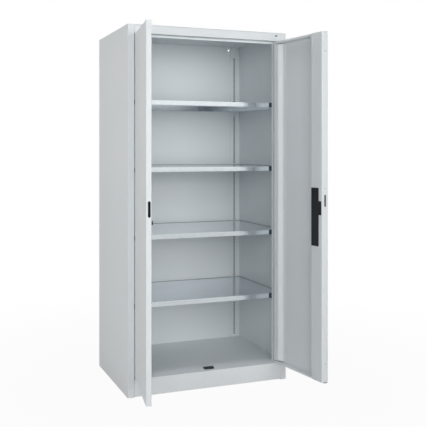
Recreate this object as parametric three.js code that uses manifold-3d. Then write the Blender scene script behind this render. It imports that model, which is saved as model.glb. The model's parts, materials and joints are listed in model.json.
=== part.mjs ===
// A two-door steel tool cabinet with four adjustable shelves, a three-point lock and both doors open.
// Millimetres. +X is to the right of someone facing the doors, +Y is to the back, +Z is up.
// The origin is on the ground, under the middle of the overall size with both doors open.

import * as THREE from 'three';
import { mergeVertices } from 'three/addons/utils/BufferGeometryUtils.js';
import Module from 'manifold-3d';

const wasm = await Module();
wasm.setup();

// Overall size of the steel body
const cabinetWidth = 930;
const cabinetDepth = 600;
const cabinetHeight = 1950;

// Play between pieces that lie against each other, and the overrun of a cutting shape past its cut
const seatGap = 0.3;
const overrun = 2;

// Sheet thicknesses and the outer radius of a bend
const wallSheet = 1.2;
const doorSheet = 1.2;
const shelfSheet = 1;
const bendRadius = 2.4;

// Front frame: two stiles, a header and a plinth around the doorway
const stileWidth = 36;
const headerHeight = 45.5;
const headerTopReturn = 18;
const plinthHeight = 95;
const plinthGroundGap = 3;
const plinthBottomReturn = 22;

// Door stops: flanges that stand in the doorway behind the doors
const stopSetback = 41;
const sideStopWidth = 30;
const headerStopDrop = 11.5;

// Side wall flanges
const rearFlangeWidth = 16;
const footFlangeWidth = 25;

// Fixing holes in the back, near its top corners
const wallHoleDiameter = 13;
const wallHoleFromSide = 80;
const wallHoleFromTop = 22;

// Lid
const lidLipHeight = 14;
const lidLipEndClearance = 12;

// Floor and the two rails that stiffen it from below
const floorLipHeight = 20;
const floorRailWidth = 60;
const floorRailHeight = 28;
const floorRailFlange = 14;
const floorRailSpacing = 200;

// Slotted uprights that carry the shelves
const uprightWidth = 36;
const uprightInnerFromSide = 66;
const uprightEdgeFromSide = 4;
const frontUprightRise = 5.5;
const rearUprightRise = 7;
const rasterPitch = 15;
const firstSlotHeight = 118;
const slotsEndFromTop = 65;
const slotFromSide = 43;
const slotWidth = 14;
const slotHeight = 6;

// Shelf clips: wedges with two hooks, pushed into two slots one above the other
const clipWidth = 12;
const clipRise = 5.2;
const clipReach = 20;
const clipNose = 3;
const clipPlate = 2;
const clipDrop = 29;
const hookAbove = 1.3;
const hookBelow = 2.7;
const hookLip = 1.5;
const hookLipDrop = 5;

// Shelves: folded pans, notched at the front corners to pass the door stops
const shelfLipHeight = 26.5;
const shelfSideGap = 1.8;
const shelfFrontSetback = 43.6;
const shelfCornerSetback = 52;
const shelfRearGap = 2;
const shelfTongueGap = 10;
const shelfEndReturn = 30;
const shelfSideReturn = 22;
const shelfSlots = [22, 46, 70, 94];

// Doors
const doorSideGap = 3.5;
const doorCentreGap = 3;
const doorTopGap = 4;
const doorBottomGap = 3;
const leafDepth = 26;
const hingeLip = 17;
const closingLip = 12;
const endLip = 12;
const cornerReliefDiameter = 6;
const leftOpenDegrees = 100;
const rightOpenDegrees = 98.4;

// Pivot hinges at the top and bottom of each door
const hingeInset = 9.5;
const hingeSetback = 8;
const hingePinDiameter = 8;
const hingePinReach = 20;
const hingeRunningGap = 0.4;
const hingeWasherDiameter = 20;
const hingeWasherThickness = 1;
const bushDiameter = 12;
const bushFlangeDiameter = 17;
const bushFlangeThickness = 1.1;
const bushLength = 14;

// Left door: stiffener, strike for the side bolt, buffer
const stiffenerWidth = 60;
const stiffenerFlange = 15;
const stiffenerDepth = 16;
const stiffenerEndGap = 16;
const leftSlotBelowHandle = 17;
const leftSlotHeight = 77;
const leftSlotWidth = 13;
const leftSlotSetback = 15;
const strikeThickness = 2;
const strikeMargin = 12;
const strikeSideMargin = 3;
const bufferHeight = 20;
const bufferWidth = 8;
const bufferThickness = 6;
const bufferBelowSlot = 15;

// Right door: a deep box section along the closing edge holds the lock
const boxWidth = 85;
const boxDepth = 40;
const boxFlange = 12;
const skinReturn = 9;
const boxEndClearance = 6.5;
const boxTopClearance = 4.5;
const rightSlotAboveHandle = 7;
const rightSlotHeight = 63;
const rightSlotWidth = 10;
const rightSlotSetback = 19;

// Lock case: a black cover on the box section, with a tab over the side bolt
const caseFromEdge = 25;
const caseWidth = 56;
const caseBelowHandle = 197;
const caseHeight = 301;
const caseThickness = 2;
const caseCornerRadius = 4;
const caseTabFromEdge = 4;
const caseTabBelowHandle = 35;
const caseTabHeight = 71;
const caseRim = 4;
const caseWall = 2;
const caseBodyDepth = 16;
const caseBossDiameter = 18;
const caseBossDepth = 18;

// Three-point lock: a pinion on the handle's spindle drives two rods and a side bolt
const handleHeight = 994;
const spindleFromEdge = 57;
const handleTurnDegrees = 90;
const boltStroke = 18;
const pinionTeeth = 16;
const toothAddendum = 1;
const toothDedendum = 1.4;
const toothBacklash = 0.9;
const toothTaper = 0.36;
const pinionSetback = 4;
const pinionLength = 17;
const spindleDiameter = 10;
const spindleEnd = 32;
const rodDiameter = 8;
const rodSetback = 9;
const rodEndGap = 0.6;
const rodHolePlay = 1.4;
const rackEndLength = 3;
const rackTeeth = 7;
const rackLeadTeeth = 2;
const sideBoltThickness = 5;
const sideBoltSetback = 15;
const sideBoltHeight = 42;
const sideBoltTail = 4;
const guideWidth = 20;
const guideDepth = 16;
const guideHeight = 14;
const guideFromEnd = 12;

// Turn handle with its rosette and key cylinder
const rosetteDiameter = 56;
const rosetteThickness = 4;
const neckDiameter = 22;
const neckInside = 3;
const handleDiscDiameter = 44;
const handleDiscThickness = 5;
const gripLength = 92;
const gripWidth = 22;
const gripHeight = 25;
const gripBevel = 3;
const gripSeating = 0.6;
const keyCoreDiameter = 12;
const keyCoreLength = 22;
const keyCoreProud = 1.2;
const keySlotLength = 8;
const keySlotWidth = 1.6;
const keySlotDepth = 4;

// Floor stop: a low block behind the meeting edges of the doors
const floorStopLength = 55;
const floorStopDepth = 27;
const floorStopHeight = 8;
const floorStopChamfer = 2;
const floorStopClearance = 0.6;
const floorStopOffset = 8;

// Blank badge on the header
const badgeWidth = 14;
const badgeHeight = 6;
const badgeThickness = 1;
const badgeFromSide = 62;
const badgeFromTop = 17;

// How finely round shapes are divided: the handle and its rosette, and the small bars and holes
const roundSides = 24;
const smallRoundSides = 14;
const bendSteps = 3;
const endArcSteps = 6;

// Planes of the cabinet, worked out from the sizes above
const leftX = -cabinetWidth / 2;
const rightX = cabinetWidth / 2;
const frontY = -cabinetDepth / 2;
const backY = cabinetDepth / 2;
const lidUnderside = cabinetHeight - wallSheet;
const wallTop = lidUnderside - seatGap;
const headerBottom = cabinetHeight - headerHeight;
const jambX = leftX + stileWidth;
const stopY = frontY + stopSetback;
const stopBackY = stopY + wallSheet;
const rearFlangeY = backY - wallSheet;
const backPanelY = rearFlangeY - seatGap - wallSheet;
const floorUnderside = plinthHeight - wallSheet;
const uprightSeat = plinthHeight + seatGap;
const frontStripY = stopBackY + seatGap + frontUprightRise;
const rearUprightBack = backPanelY - seatGap;
const rearStripY = rearUprightBack - rearUprightRise;
const slotX = leftX + slotFromSide;

// Planes of a door, seen in the door's own frame: x runs from the hinge axis to the closing edge,
// y runs from the outer face into the cabinet, and z is the height above ground
const leafWidth = (cabinetWidth - 2 * stileWidth - 2 * doorSideGap - doorCentreGap) / 2;
const leafHingeEdge = -hingeInset;
const leafClosingEdge = leafWidth - hingeInset;
const leafOuterY = -hingeSetback;
const leafInnerY = leafOuterY + leafDepth;
const skinInnerY = leafOuterY + doorSheet;
const doorBottom = plinthHeight + doorBottomGap;
const doorTop = headerBottom - doorTopGap;
const hingeAxisX = stileWidth + doorSideGap + hingeInset;
const boxHingeSide = leafClosingEdge - boxWidth;
const boxFaceY = leafOuterY + boxDepth;
const boxBottom = doorBottom + boxEndClearance;
const boxTop = doorTop - boxTopClearance;
const caseFaceY = boxFaceY + seatGap;
const spindleX = leafClosingEdge - spindleFromEdge;
const caseBottom = handleHeight - caseBelowHandle;
const caseTabBottom = handleHeight - caseTabBelowHandle;
const rightSlotBottom = handleHeight + rightSlotAboveHandle;
const leftSlotBottom = handleHeight - leftSlotBelowHandle;
const bufferBottom = leftSlotBottom - bufferBelowSlot - bufferHeight;
const pitchRadius = boltStroke / THREE.MathUtils.degToRad(handleTurnDegrees);
const toothPitch = 2 * Math.PI * pitchRadius / pinionTeeth;
const rodOffset = pitchRadius + rodDiameter / 2 - toothAddendum;
const rodY = leafOuterY + rodSetback;
const bottomRodX = spindleX + rodOffset;
const topRodX = spindleX - rodOffset;

// Finishes
const lightGreyPaint = new THREE.MeshStandardMaterial({ color: 0xcfd4d5, roughness: 0.55, metalness: 0 });
const zincSteel = new THREE.MeshStandardMaterial({ color: 0xc3c9cc, roughness: 0.35, metalness: 0.9 });
const brightSteel = new THREE.MeshStandardMaterial({ color: 0xa9adb0, roughness: 0.3, metalness: 1 });
const blackPlastic = new THREE.MeshStandardMaterial({ color: 0x1d1f21, roughness: 0.5, metalness: 0 });
const paleNylon = new THREE.MeshStandardMaterial({ color: 0xe6e4dc, roughness: 0.6, metalness: 0 });
const blackRubber = new THREE.MeshStandardMaterial({ color: 0x17181a, roughness: 0.85, metalness: 0 });
const plainAluminium = new THREE.MeshStandardMaterial({ color: 0x706961, roughness: 0.4, metalness: 1 });

// Solids: joining and cutting

function toSolid(geometry) {
  const bare = new THREE.BufferGeometry();
  bare.setAttribute('position', geometry.getAttribute('position').clone());
  bare.setIndex(geometry.index ? geometry.index.clone() : null);
  const merged = mergeVertices(bare);
  const vertProperties = new Float32Array(merged.getAttribute('position').array);
  const triVerts = new Uint32Array(merged.index.array);
  return new wasm.Manifold(new wasm.Mesh({ numProp: 3, vertProperties, triVerts }));
}

function toGeometry(solid) {
  const mesh = solid.getMesh();
  const geometry = new THREE.BufferGeometry();
  geometry.setAttribute('position', new THREE.BufferAttribute(mesh.vertProperties, 3));
  geometry.setIndex(new THREE.BufferAttribute(mesh.triVerts, 1));
  return geometry;
}

function join(first, ...others) {
  return toGeometry(others.reduce((solid, other) => solid.add(toSolid(other)), toSolid(first)));
}

function cut(body, ...tools) {
  return toGeometry(tools.reduce((solid, tool) => solid.subtract(toSolid(tool)), toSolid(body)));
}

// The same piece for the other hand: X changes sign, and each triangle is wound the other way round.
function mirrored(geometry) {
  const copy = toGeometry(toSolid(geometry));
  const position = copy.getAttribute('position');
  const index = copy.index;
  for (let vertex = 0; vertex < position.count; vertex += 1) {
    position.setX(vertex, -position.getX(vertex));
  }
  for (let corner = 0; corner < index.count; corner += 3) {
    const second = index.getX(corner + 1);
    index.setX(corner + 1, index.getX(corner + 2));
    index.setX(corner + 2, second);
  }
  return copy;
}

// Plain shapes, placed by their limits along each axis

function block(x0, x1, y0, y1, z0, z1) {
  const geometry = new THREE.BoxGeometry(x1 - x0, y1 - y0, z1 - z0);
  return geometry.translate((x0 + x1) / 2, (y0 + y1) / 2, (z0 + z1) / 2);
}

function roundBar(diameter, x, y, z0, z1, sides = smallRoundSides) {
  const geometry = new THREE.CylinderGeometry(diameter / 2, diameter / 2, z1 - z0, sides);
  return geometry.rotateX(Math.PI / 2).translate(x, y, (z0 + z1) / 2);
}

function roundBarAlongY(diameter, x, z, y0, y1, sides = smallRoundSides) {
  const geometry = new THREE.CylinderGeometry(diameter / 2, diameter / 2, y1 - y0, sides);
  return geometry.translate(x, (y0 + y1) / 2, z);
}

// Outlines carried along an axis. The outline is drawn in the two other axes, in the order given.

const alongXFromYZ = new THREE.Matrix4().set(0, 0, 1, 0, 1, 0, 0, 0, 0, 1, 0, 0, 0, 0, 0, 1);
const alongYFromXZ = new THREE.Matrix4().set(1, 0, 0, 0, 0, 0, -1, 0, 0, 1, 0, 0, 0, 0, 0, 1);

function extrude(shape, depth) {
  return new THREE.ExtrudeGeometry(shape, { depth, bevelEnabled: false });
}

function prismAlongZ(shape, z0, z1) {
  return extrude(shape, z1 - z0).translate(0, 0, z0);
}

function prismAlongX(shape, x0, x1) {
  return extrude(shape, x1 - x0).applyMatrix4(alongXFromYZ).translate(x0, 0, 0);
}

function prismAlongY(shape, y0, y1) {
  return extrude(shape, y1 - y0).applyMatrix4(alongYFromXZ).translate(0, y1, 0);
}

function outline(points) {
  return new THREE.Shape(points.map(([first, second]) => new THREE.Vector2(first, second)));
}

// A long hole with round ends, standing upright, centred on (across, up).
function longHole(across, up, width, height) {
  const radius = width / 2;
  const straight = height / 2 - radius;
  const points = [];
  for (let step = 0; step <= endArcSteps; step += 1) {
    const angle = Math.PI * step / endArcSteps;
    points.push([across + radius * Math.cos(angle), up + straight + radius * Math.sin(angle)]);
  }
  for (let step = 0; step <= endArcSteps; step += 1) {
    const angle = Math.PI * (1 + step / endArcSteps);
    points.push([across + radius * Math.cos(angle), up - straight + radius * Math.sin(angle)]);
  }
  return outline(points);
}

// The section of a sheet folded at right angles. The path is one face of the sheet, and the other
// face lies one thickness to its right. At each fold both faces turn about the same centre.
function foldedSheet(path, thickness) {
  const corners = path.map(([first, second]) => new THREE.Vector2(first, second));
  const nearFace = [];
  const farFace = [];
  corners.forEach((corner, place) => {
    const ahead = corners[place + 1];
    const behind = corners[place - 1];
    const arrive = behind ? corner.clone().sub(behind).normalize() : ahead.clone().sub(corner).normalize();
    const right = new THREE.Vector2(arrive.y, -arrive.x);
    if (!ahead || !behind) {
      nearFace.push(corner.clone());
      farFace.push(corner.clone().addScaledVector(right, thickness));
      return;
    }
    const leave = ahead.clone().sub(corner).normalize();
    const side = Math.sign(right.dot(leave));
    const nearRadius = side > 0 ? bendRadius : bendRadius - thickness;
    const farRadius = side > 0 ? bendRadius - thickness : bendRadius;
    const inward = right.clone().multiplyScalar(side);
    const centre = corner.clone().addScaledVector(arrive, -nearRadius).addScaledVector(inward, nearRadius);
    for (let step = 0; step <= bendSteps; step += 1) {
      const angle = Math.PI / 2 * step / bendSteps;
      const spoke = inward.clone().multiplyScalar(-Math.cos(angle)).addScaledVector(arrive, Math.sin(angle));
      nearFace.push(centre.clone().addScaledVector(spoke, nearRadius));
      farFace.push(centre.clone().addScaledVector(spoke, farRadius));
    }
  });
  return new THREE.Shape([...nearFace, ...farFace.reverse()]);
}

// A rectangle in plan with rounded corners, for pans that are folded on all sides.
function roundedPlan(x0, x1, y0, y1, radius) {
  const centres = [[x1 - radius, y1 - radius], [x0 + radius, y1 - radius],
    [x0 + radius, y0 + radius], [x1 - radius, y0 + radius]];
  const points = centres.flatMap(([x, y], corner) => {
    const arc = [];
    for (let step = 0; step <= bendSteps; step += 1) {
      const angle = Math.PI / 2 * (corner + step / bendSteps);
      arc.push([x + radius * Math.cos(angle), y + radius * Math.sin(angle)]);
    }
    return arc;
  });
  return outline(points);
}

// The scene graph

const cabinet = new THREE.Group();
const carcass = new THREE.Group();
const leftDoor = new THREE.Group();
const rightDoor = new THREE.Group();
cabinet.add(carcass, leftDoor, rightDoor);

function place(group, name, geometry, material) {
  const mesh = new THREE.Mesh(geometry, material);
  mesh.name = name;
  group.add(mesh);
}

// Side walls: one sheet each, folded into the stile, the jamb and the door stop at the front, a flange
// at the back and a foot flange on the ground.
function leftSideWall() {
  const section = foldedSheet([
    [jambX + sideStopWidth, stopY],
    [jambX, stopY],
    [jambX, frontY],
    [leftX, frontY],
    [leftX, backY],
    [leftX + rearFlangeWidth, backY],
  ], wallSheet);
  const wall = prismAlongZ(section, 0, wallTop);
  const aboveStop = block(jambX, jambX + sideStopWidth + overrun, stopY - overrun, stopBackY + overrun,
    headerBottom - headerStopDrop - seatGap, wallTop + overrun);
  const foot = block(leftX + wallSheet / 2, leftX + footFlangeWidth, stopBackY + overrun,
    backPanelY - overrun, 0, wallSheet);
  return join(cut(wall, aboveStop), foot);
}

place(carcass, 'left_side_wall', leftSideWall(), lightGreyPaint);
place(carcass, 'right_side_wall', mirrored(leftSideWall()), lightGreyPaint);

// Back: a flat sheet held in front of the rear flanges, with a fixing hole near each top corner.
function backPanel() {
  const x = rightX - bendRadius - seatGap;
  const sheet = block(-x, x, backPanelY, backPanelY + wallSheet, plinthGroundGap, wallTop);
  const holes = [-1, 1].map((side) => roundBarAlongY(wallHoleDiameter,
    side * (rightX - wallHoleFromSide), cabinetHeight - wallHoleFromTop,
    backPanelY - overrun, backPanelY + wallSheet + overrun));
  return cut(sheet, ...holes);
}

place(carcass, 'back_panel', backPanel(), lightGreyPaint);

// Lid: a flat sheet over all four walls, with a lip down inside each side wall and inside the back.
function lid() {
  const sheet = block(leftX, rightX, frontY, backY, lidUnderside, cabinetHeight);
  const sideX = rightX - wallSheet - seatGap;
  const lipTop = lidUnderside + wallSheet / 2;
  const sideLips = [-1, 1].map((side) => {
    const edges = [side * sideX, side * (sideX - wallSheet)];
    return block(Math.min(...edges), Math.max(...edges), stopBackY + lidLipEndClearance,
      rearStripY - lidLipEndClearance, lidUnderside - lidLipHeight, lipTop);
  });
  const rearX = rightX - uprightInnerFromSide - lidLipEndClearance;
  const rearLip = block(-rearX, rearX, backPanelY - seatGap - wallSheet, backPanelY - seatGap,
    lidUnderside - lidLipHeight, lipTop);
  return join(sheet, ...sideLips, rearLip);
}

place(carcass, 'lid', lid(), lightGreyPaint);

// Header: the face above the doors, the soffit with the upper hinge pins and the top rod's socket,
// and the stop strip that hangs behind the doors.
function header() {
  const section = foldedSheet([
    [stopY, headerBottom - headerStopDrop],
    [stopY, headerBottom],
    [frontY, headerBottom],
    [frontY, wallTop],
    [frontY + headerTopReturn, wallTop],
  ], wallSheet);
  const x = -jambX - seatGap;
  const rail = prismAlongX(section, -x, x);
  const socket = roundBar(rodDiameter + 2 * rodHolePlay, rightX - hingeAxisX - topRodX, frontY + rodSetback,
    headerBottom - overrun, headerBottom + wallSheet + overrun);
  return cut(rail, socket);
}

place(carcass, 'header', header(), lightGreyPaint);

// Floor: a sheet notched around the jambs and door stops, with a lip down at the front and back, and
// the socket for the bottom rod.
function floor() {
  const frontEdge = frontY + wallSheet + seatGap;
  const rearEdge = backPanelY - seatGap;
  const jambEdge = -jambX - seatGap;
  const stopEdge = jambEdge - sideStopWidth;
  const sideEdge = rightX - wallSheet - seatGap;
  const half = [
    [jambEdge, frontEdge],
    [jambEdge, stopY - bendRadius],
    [jambEdge - bendRadius, stopY - seatGap],
    [stopEdge, stopY - seatGap],
    [stopEdge, stopBackY + seatGap],
    [sideEdge, stopBackY + seatGap],
    [sideEdge, rearEdge],
  ];
  const otherHalf = half.map(([x, y]) => [-x, y]).reverse();
  const sheet = prismAlongZ(outline([...half, ...otherHalf]), floorUnderside, plinthHeight);
  const lipBottom = floorUnderside - floorLipHeight;
  const lipTop = plinthHeight - wallSheet / 2;
  const frontLip = block(-jambEdge, jambEdge, frontEdge, frontEdge + wallSheet, lipBottom, lipTop);
  const rearLip = block(-sideEdge, sideEdge, rearEdge - wallSheet, rearEdge, lipBottom, lipTop);
  const socket = roundBar(rodDiameter + 2 * rodHolePlay, rightX - hingeAxisX - bottomRodX,
    frontY + rodSetback, floorUnderside - overrun, plinthHeight + overrun);
  return cut(join(sheet, frontLip, rearLip), socket);
}

place(carcass, 'floor_panel', floor(), lightGreyPaint);

// Plinth: the front strip between the stiles, flush with the floor and just clear of the ground.
function plinth() {
  const section = foldedSheet([
    [frontY, plinthHeight],
    [frontY, plinthGroundGap],
    [frontY + plinthBottomReturn, plinthGroundGap],
  ].reverse(), wallSheet);
  const x = -jambX - seatGap;
  return prismAlongX(section, -x, x);
}

place(carcass, 'front_plinth', plinth(), lightGreyPaint);

// Two hat-shaped rails under the floor, from wall to wall.
function floorRail(centreY) {
  const top = floorUnderside - seatGap;
  const bottom = top - floorRailHeight;
  const half = floorRailWidth / 2;
  const section = foldedSheet([
    [centreY - half - floorRailFlange, top],
    [centreY - half, top],
    [centreY - half, bottom],
    [centreY + half, bottom],
    [centreY + half, top],
    [centreY + half + floorRailFlange, top],
  ], wallSheet);
  const x = rightX - wallSheet - seatGap;
  return prismAlongX(section, -x, x);
}

place(carcass, 'front_floor_rail', floorRail(-floorRailSpacing / 2), lightGreyPaint);
place(carcass, 'rear_floor_rail', floorRail(floorRailSpacing / 2), lightGreyPaint);

// Slotted uprights. The front pair stands behind the door stops and faces the back. The rear pair
// stands against the back and faces the front. Each has one column of slots, one raster pitch apart.
function slotColumn(stripY) {
  const count = Math.floor((cabinetHeight - slotsEndFromTop - firstSlotHeight) / rasterPitch) + 1;
  const slots = [];
  for (let slot = 0; slot < count; slot += 1) {
    const height = firstSlotHeight + slot * rasterPitch;
    slots.push(block(slotX - slotWidth / 2, slotX + slotWidth / 2, stripY - overrun, stripY + overrun,
      height - slotHeight / 2, height + slotHeight / 2));
  }
  return slots;
}

function leftFrontUpright() {
  const innerX = leftX + uprightInnerFromSide;
  const outerX = innerX - uprightWidth;
  const footY = stopBackY + seatGap;
  const section = foldedSheet([
    [outerX, footY],
    [outerX, frontStripY],
    [innerX, frontStripY],
    [innerX, footY],
  ], wallSheet);
  return cut(prismAlongZ(section, uprightSeat, wallTop), ...slotColumn(frontStripY));
}

function leftRearUpright() {
  const innerX = leftX + uprightInnerFromSide;
  const outerX = innerX - uprightWidth;
  const section = foldedSheet([
    [innerX, rearUprightBack],
    [innerX, rearStripY],
    [outerX, rearStripY],
    [outerX, rearUprightBack - wallSheet],
    [leftX + uprightEdgeFromSide, rearUprightBack - wallSheet],
  ], wallSheet);
  return cut(prismAlongZ(section, uprightSeat, wallTop), ...slotColumn(rearStripY));
}

place(carcass, 'front_left_upright', leftFrontUpright(), lightGreyPaint);
place(carcass, 'front_right_upright', mirrored(leftFrontUpright()), lightGreyPaint);
place(carcass, 'rear_left_upright', leftRearUpright(), lightGreyPaint);
place(carcass, 'rear_right_upright', mirrored(leftRearUpright()), lightGreyPaint);

// Shelf clips. In the clip's own frame y is the distance from the upright's strip, towards the shelf,
// and z is the height above the seat.
function clip() {
  const hooks = [-clipRise, -clipRise - rasterPitch].map((centre) => {
    const lipNear = -wallSheet - seatGap;
    const lipFar = lipNear - hookLip;
    return [
      [seatGap, centre + hookAbove],
      [lipFar, centre + hookAbove],
      [lipFar, centre - hookLipDrop],
      [lipNear, centre - hookLipDrop],
      [lipNear, centre - hookBelow],
      [seatGap, centre - hookBelow],
    ];
  });
  const points = [
    [seatGap, 0],
    ...hooks.flat(),
    [seatGap, -clipDrop],
    [seatGap + clipPlate, -clipDrop],
    [seatGap + clipReach, -clipNose],
    [seatGap + clipReach, 0],
  ];
  return prismAlongX(outline(points), -clipWidth / 2, clipWidth / 2);
}

// Shelves: pans with a lip all round, folded back in under the shelf.
function shelfPlan(inset) {
  const tongueEdge = rightX - uprightInnerFromSide - shelfTongueGap - inset;
  const sideEdge = rightX - wallSheet - shelfSideGap - inset;
  const half = [
    [tongueEdge, frontY + shelfFrontSetback + inset],
    [tongueEdge, frontY + shelfCornerSetback + inset],
    [sideEdge, frontY + shelfCornerSetback + inset],
    [sideEdge, rearStripY - shelfRearGap - inset],
  ];
  return outline([...half, ...half.map(([x, y]) => [-x, y]).reverse()]);
}

function shelf(level) {
  const bottom = level - shelfLipHeight;
  const windowX = rightX - wallSheet - shelfSideGap - shelfSideReturn;
  const body = prismAlongZ(shelfPlan(0), bottom, level);
  const hollow = prismAlongZ(shelfPlan(shelfSheet), bottom + shelfSheet, level - shelfSheet);
  const window = block(-windowX, windowX, frontY + shelfFrontSetback + shelfEndReturn,
    rearStripY - shelfRearGap - shelfEndReturn, bottom - overrun, bottom + 2 * shelfSheet);
  return cut(body, hollow, window);
}

shelfSlots.forEach((slot, order) => {
  const seat = firstSlotHeight + slot * rasterPitch + clipRise;
  const number = order + 1;
  place(carcass, `shelf_${number}`, shelf(seat + seatGap + shelfLipHeight), zincSteel);
  [['left', slotX], ['right', -slotX]].forEach(([side, x]) => {
    place(carcass, `shelf_${number}_front_${side}_clip`, clip().translate(x, frontStripY, seat), zincSteel);
    place(carcass, `shelf_${number}_rear_${side}_clip`,
      clip().rotateZ(Math.PI).translate(x, rearStripY, seat), zincSteel);
  });
});

// Floor stop: a low black block that the closing edges of both doors come up against.
function floorStop() {
  const front = frontY + leafDepth + floorStopClearance;
  const bottom = plinthHeight + seatGap;
  const top = bottom + floorStopHeight;
  const section = outline([
    [front, bottom],
    [front + floorStopDepth, bottom],
    [front + floorStopDepth, top - floorStopChamfer],
    [front + floorStopDepth - floorStopChamfer, top],
    [front + floorStopChamfer, top],
    [front, top - floorStopChamfer],
  ]);
  return prismAlongX(section, floorStopOffset - floorStopLength / 2, floorStopOffset + floorStopLength / 2);
}

place(carcass, 'floor_stop', floorStop(), blackPlastic);

// Badge: a blank plate near the right end of the header.
const badgeX = rightX - badgeFromSide;
const badgeZ = cabinetHeight - badgeFromTop;
place(carcass, 'blank_badge', block(badgeX - badgeWidth / 2, badgeX + badgeWidth / 2,
  frontY - seatGap - badgeThickness, frontY - seatGap, badgeZ - badgeHeight / 2, badgeZ + badgeHeight / 2),
plainAluminium);

// Hinge pins: each stands on a washer, on the floor or under the header, and reaches into the door.
const hingeY = frontY + hingeSetback;
const lowerWasherBottom = plinthHeight + seatGap;
const lowerWasherTop = lowerWasherBottom + hingeWasherThickness;
const upperWasherTop = headerBottom - seatGap;
const upperWasherBottom = upperWasherTop - hingeWasherThickness;

function lowerHingePin(x) {
  const washer = roundBar(hingeWasherDiameter, x, hingeY, lowerWasherBottom, lowerWasherTop);
  const pin = roundBar(hingePinDiameter, x, hingeY, lowerWasherBottom, doorBottom + hingePinReach);
  return join(washer, pin);
}

function upperHingePin(x) {
  const washer = roundBar(hingeWasherDiameter, x, hingeY, upperWasherBottom, upperWasherTop);
  const pin = roundBar(hingePinDiameter, x, hingeY, doorTop - hingePinReach, upperWasherTop);
  return join(washer, pin);
}

[['left', leftX + hingeAxisX], ['right', rightX - hingeAxisX]].forEach(([side, x]) => {
  place(carcass, `${side}_lower_hinge_pin`, lowerHingePin(x), brightSteel);
  place(carcass, `${side}_upper_hinge_pin`, upperHingePin(x), brightSteel);
});

// Hinge bushes: flanged sleeves in the ends of the doors, around the pins.
const bushBore = hingePinDiameter + 2 * hingeRunningGap;

function lowerBush() {
  const flangeBottom = lowerWasherTop + seatGap;
  const sleeve = roundBar(bushDiameter, 0, 0, flangeBottom, flangeBottom + bushLength);
  const flange = roundBar(bushFlangeDiameter, 0, 0, flangeBottom, flangeBottom + bushFlangeThickness);
  const bore = roundBar(bushBore, 0, 0, flangeBottom - overrun, flangeBottom + bushLength + overrun);
  return cut(join(sleeve, flange), bore);
}

function upperBush() {
  const flangeTop = doorTop + seatGap + bushFlangeThickness;
  const sleeve = roundBar(bushDiameter, 0, 0, flangeTop - bushLength, flangeTop);
  const flange = roundBar(bushFlangeDiameter, 0, 0, flangeTop - bushFlangeThickness, flangeTop);
  const bore = roundBar(bushBore, 0, 0, flangeTop - bushLength - overrun, flangeTop + overrun);
  return cut(join(sleeve, flange), bore);
}

// A door leaf: a pan folded from one sheet, with lips around its open inner side. lipEnd is where the
// lips of the open side stop, and closingEdgeDepth is how deep the fold at the closing edge is.
function leaf(lipEnd, closingEdgeDepth) {
  const body = prismAlongZ(roundedPlan(leafHingeEdge, leafClosingEdge, leafOuterY, leafInnerY, bendRadius),
    doorBottom, doorTop);
  const hollow = prismAlongZ(roundedPlan(leafHingeEdge + doorSheet, leafClosingEdge - doorSheet,
    leafOuterY + doorSheet, leafInnerY - doorSheet, bendRadius - doorSheet),
  doorBottom + doorSheet, doorTop - doorSheet);
  const window = block(leafHingeEdge + hingeLip, lipEnd, leafInnerY - 2 * doorSheet, leafInnerY + overrun,
    doorBottom + endLip, doorTop - endLip);
  const reliefs = [doorBottom + endLip, doorTop - endLip].map((z) => roundBarAlongY(cornerReliefDiameter,
    leafHingeEdge + hingeLip, z, leafInnerY - 2 * doorSheet, leafInnerY + overrun));
  const pinHoles = [[doorBottom - overrun, doorBottom + doorSheet + overrun],
    [doorTop - doorSheet - overrun, doorTop + overrun]].map(([z0, z1]) =>
    roundBar(bushDiameter + 2 * seatGap, 0, 0, z0, z1));
  const edgeOpening = block(boxHingeSide - seatGap, leafClosingEdge + overrun,
    leafOuterY + closingEdgeDepth, leafInnerY + overrun, doorBottom + doorSheet, doorTop - doorSheet);
  const openings = closingEdgeDepth < leafDepth ? [edgeOpening] : [];
  return cut(body, hollow, window, ...reliefs, ...pinHoles, ...openings);
}

// Left door
function leftLeaf() {
  const slot = longHole(leafOuterY + leftSlotSetback, leftSlotBottom + leftSlotHeight / 2,
    leftSlotWidth, leftSlotHeight);
  return cut(leaf(leafClosingEdge - closingLip, leafDepth),
    prismAlongX(slot, leafClosingEdge - doorSheet - overrun, leafClosingEdge + overrun));
}

// The strike stiffens the closing edge around the slot that the side bolt enters.
function strike() {
  const x1 = leafClosingEdge - doorSheet - seatGap;
  const x0 = x1 - strikeThickness;
  const plate = block(x0, x1, skinInnerY + strikeSideMargin, leafInnerY - bendRadius - seatGap,
    leftSlotBottom - strikeMargin, leftSlotBottom + leftSlotHeight + strikeMargin);
  const slot = longHole(leafOuterY + leftSlotSetback, leftSlotBottom + leftSlotHeight / 2,
    leftSlotWidth, leftSlotHeight);
  return cut(plate, prismAlongX(slot, x0 - overrun, x1 + overrun));
}

function stiffener() {
  const centre = (leafHingeEdge + leafClosingEdge) / 2;
  const half = stiffenerWidth / 2;
  const near = skinInnerY + seatGap + doorSheet;
  const far = skinInnerY + seatGap + stiffenerDepth;
  const section = foldedSheet([
    [centre - half - stiffenerFlange, near],
    [centre - half, near],
    [centre - half, far],
    [centre + half, far],
    [centre + half, near],
    [centre + half + stiffenerFlange, near],
  ], doorSheet);
  return prismAlongZ(section, doorBottom + stiffenerEndGap, doorTop - stiffenerEndGap);
}

function buffer() {
  return block(leafClosingEdge - bendRadius - bufferWidth, leafClosingEdge - bendRadius,
    leafInnerY + seatGap, leafInnerY + seatGap + bufferThickness, bufferBottom, bufferBottom + bufferHeight);
}

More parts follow.
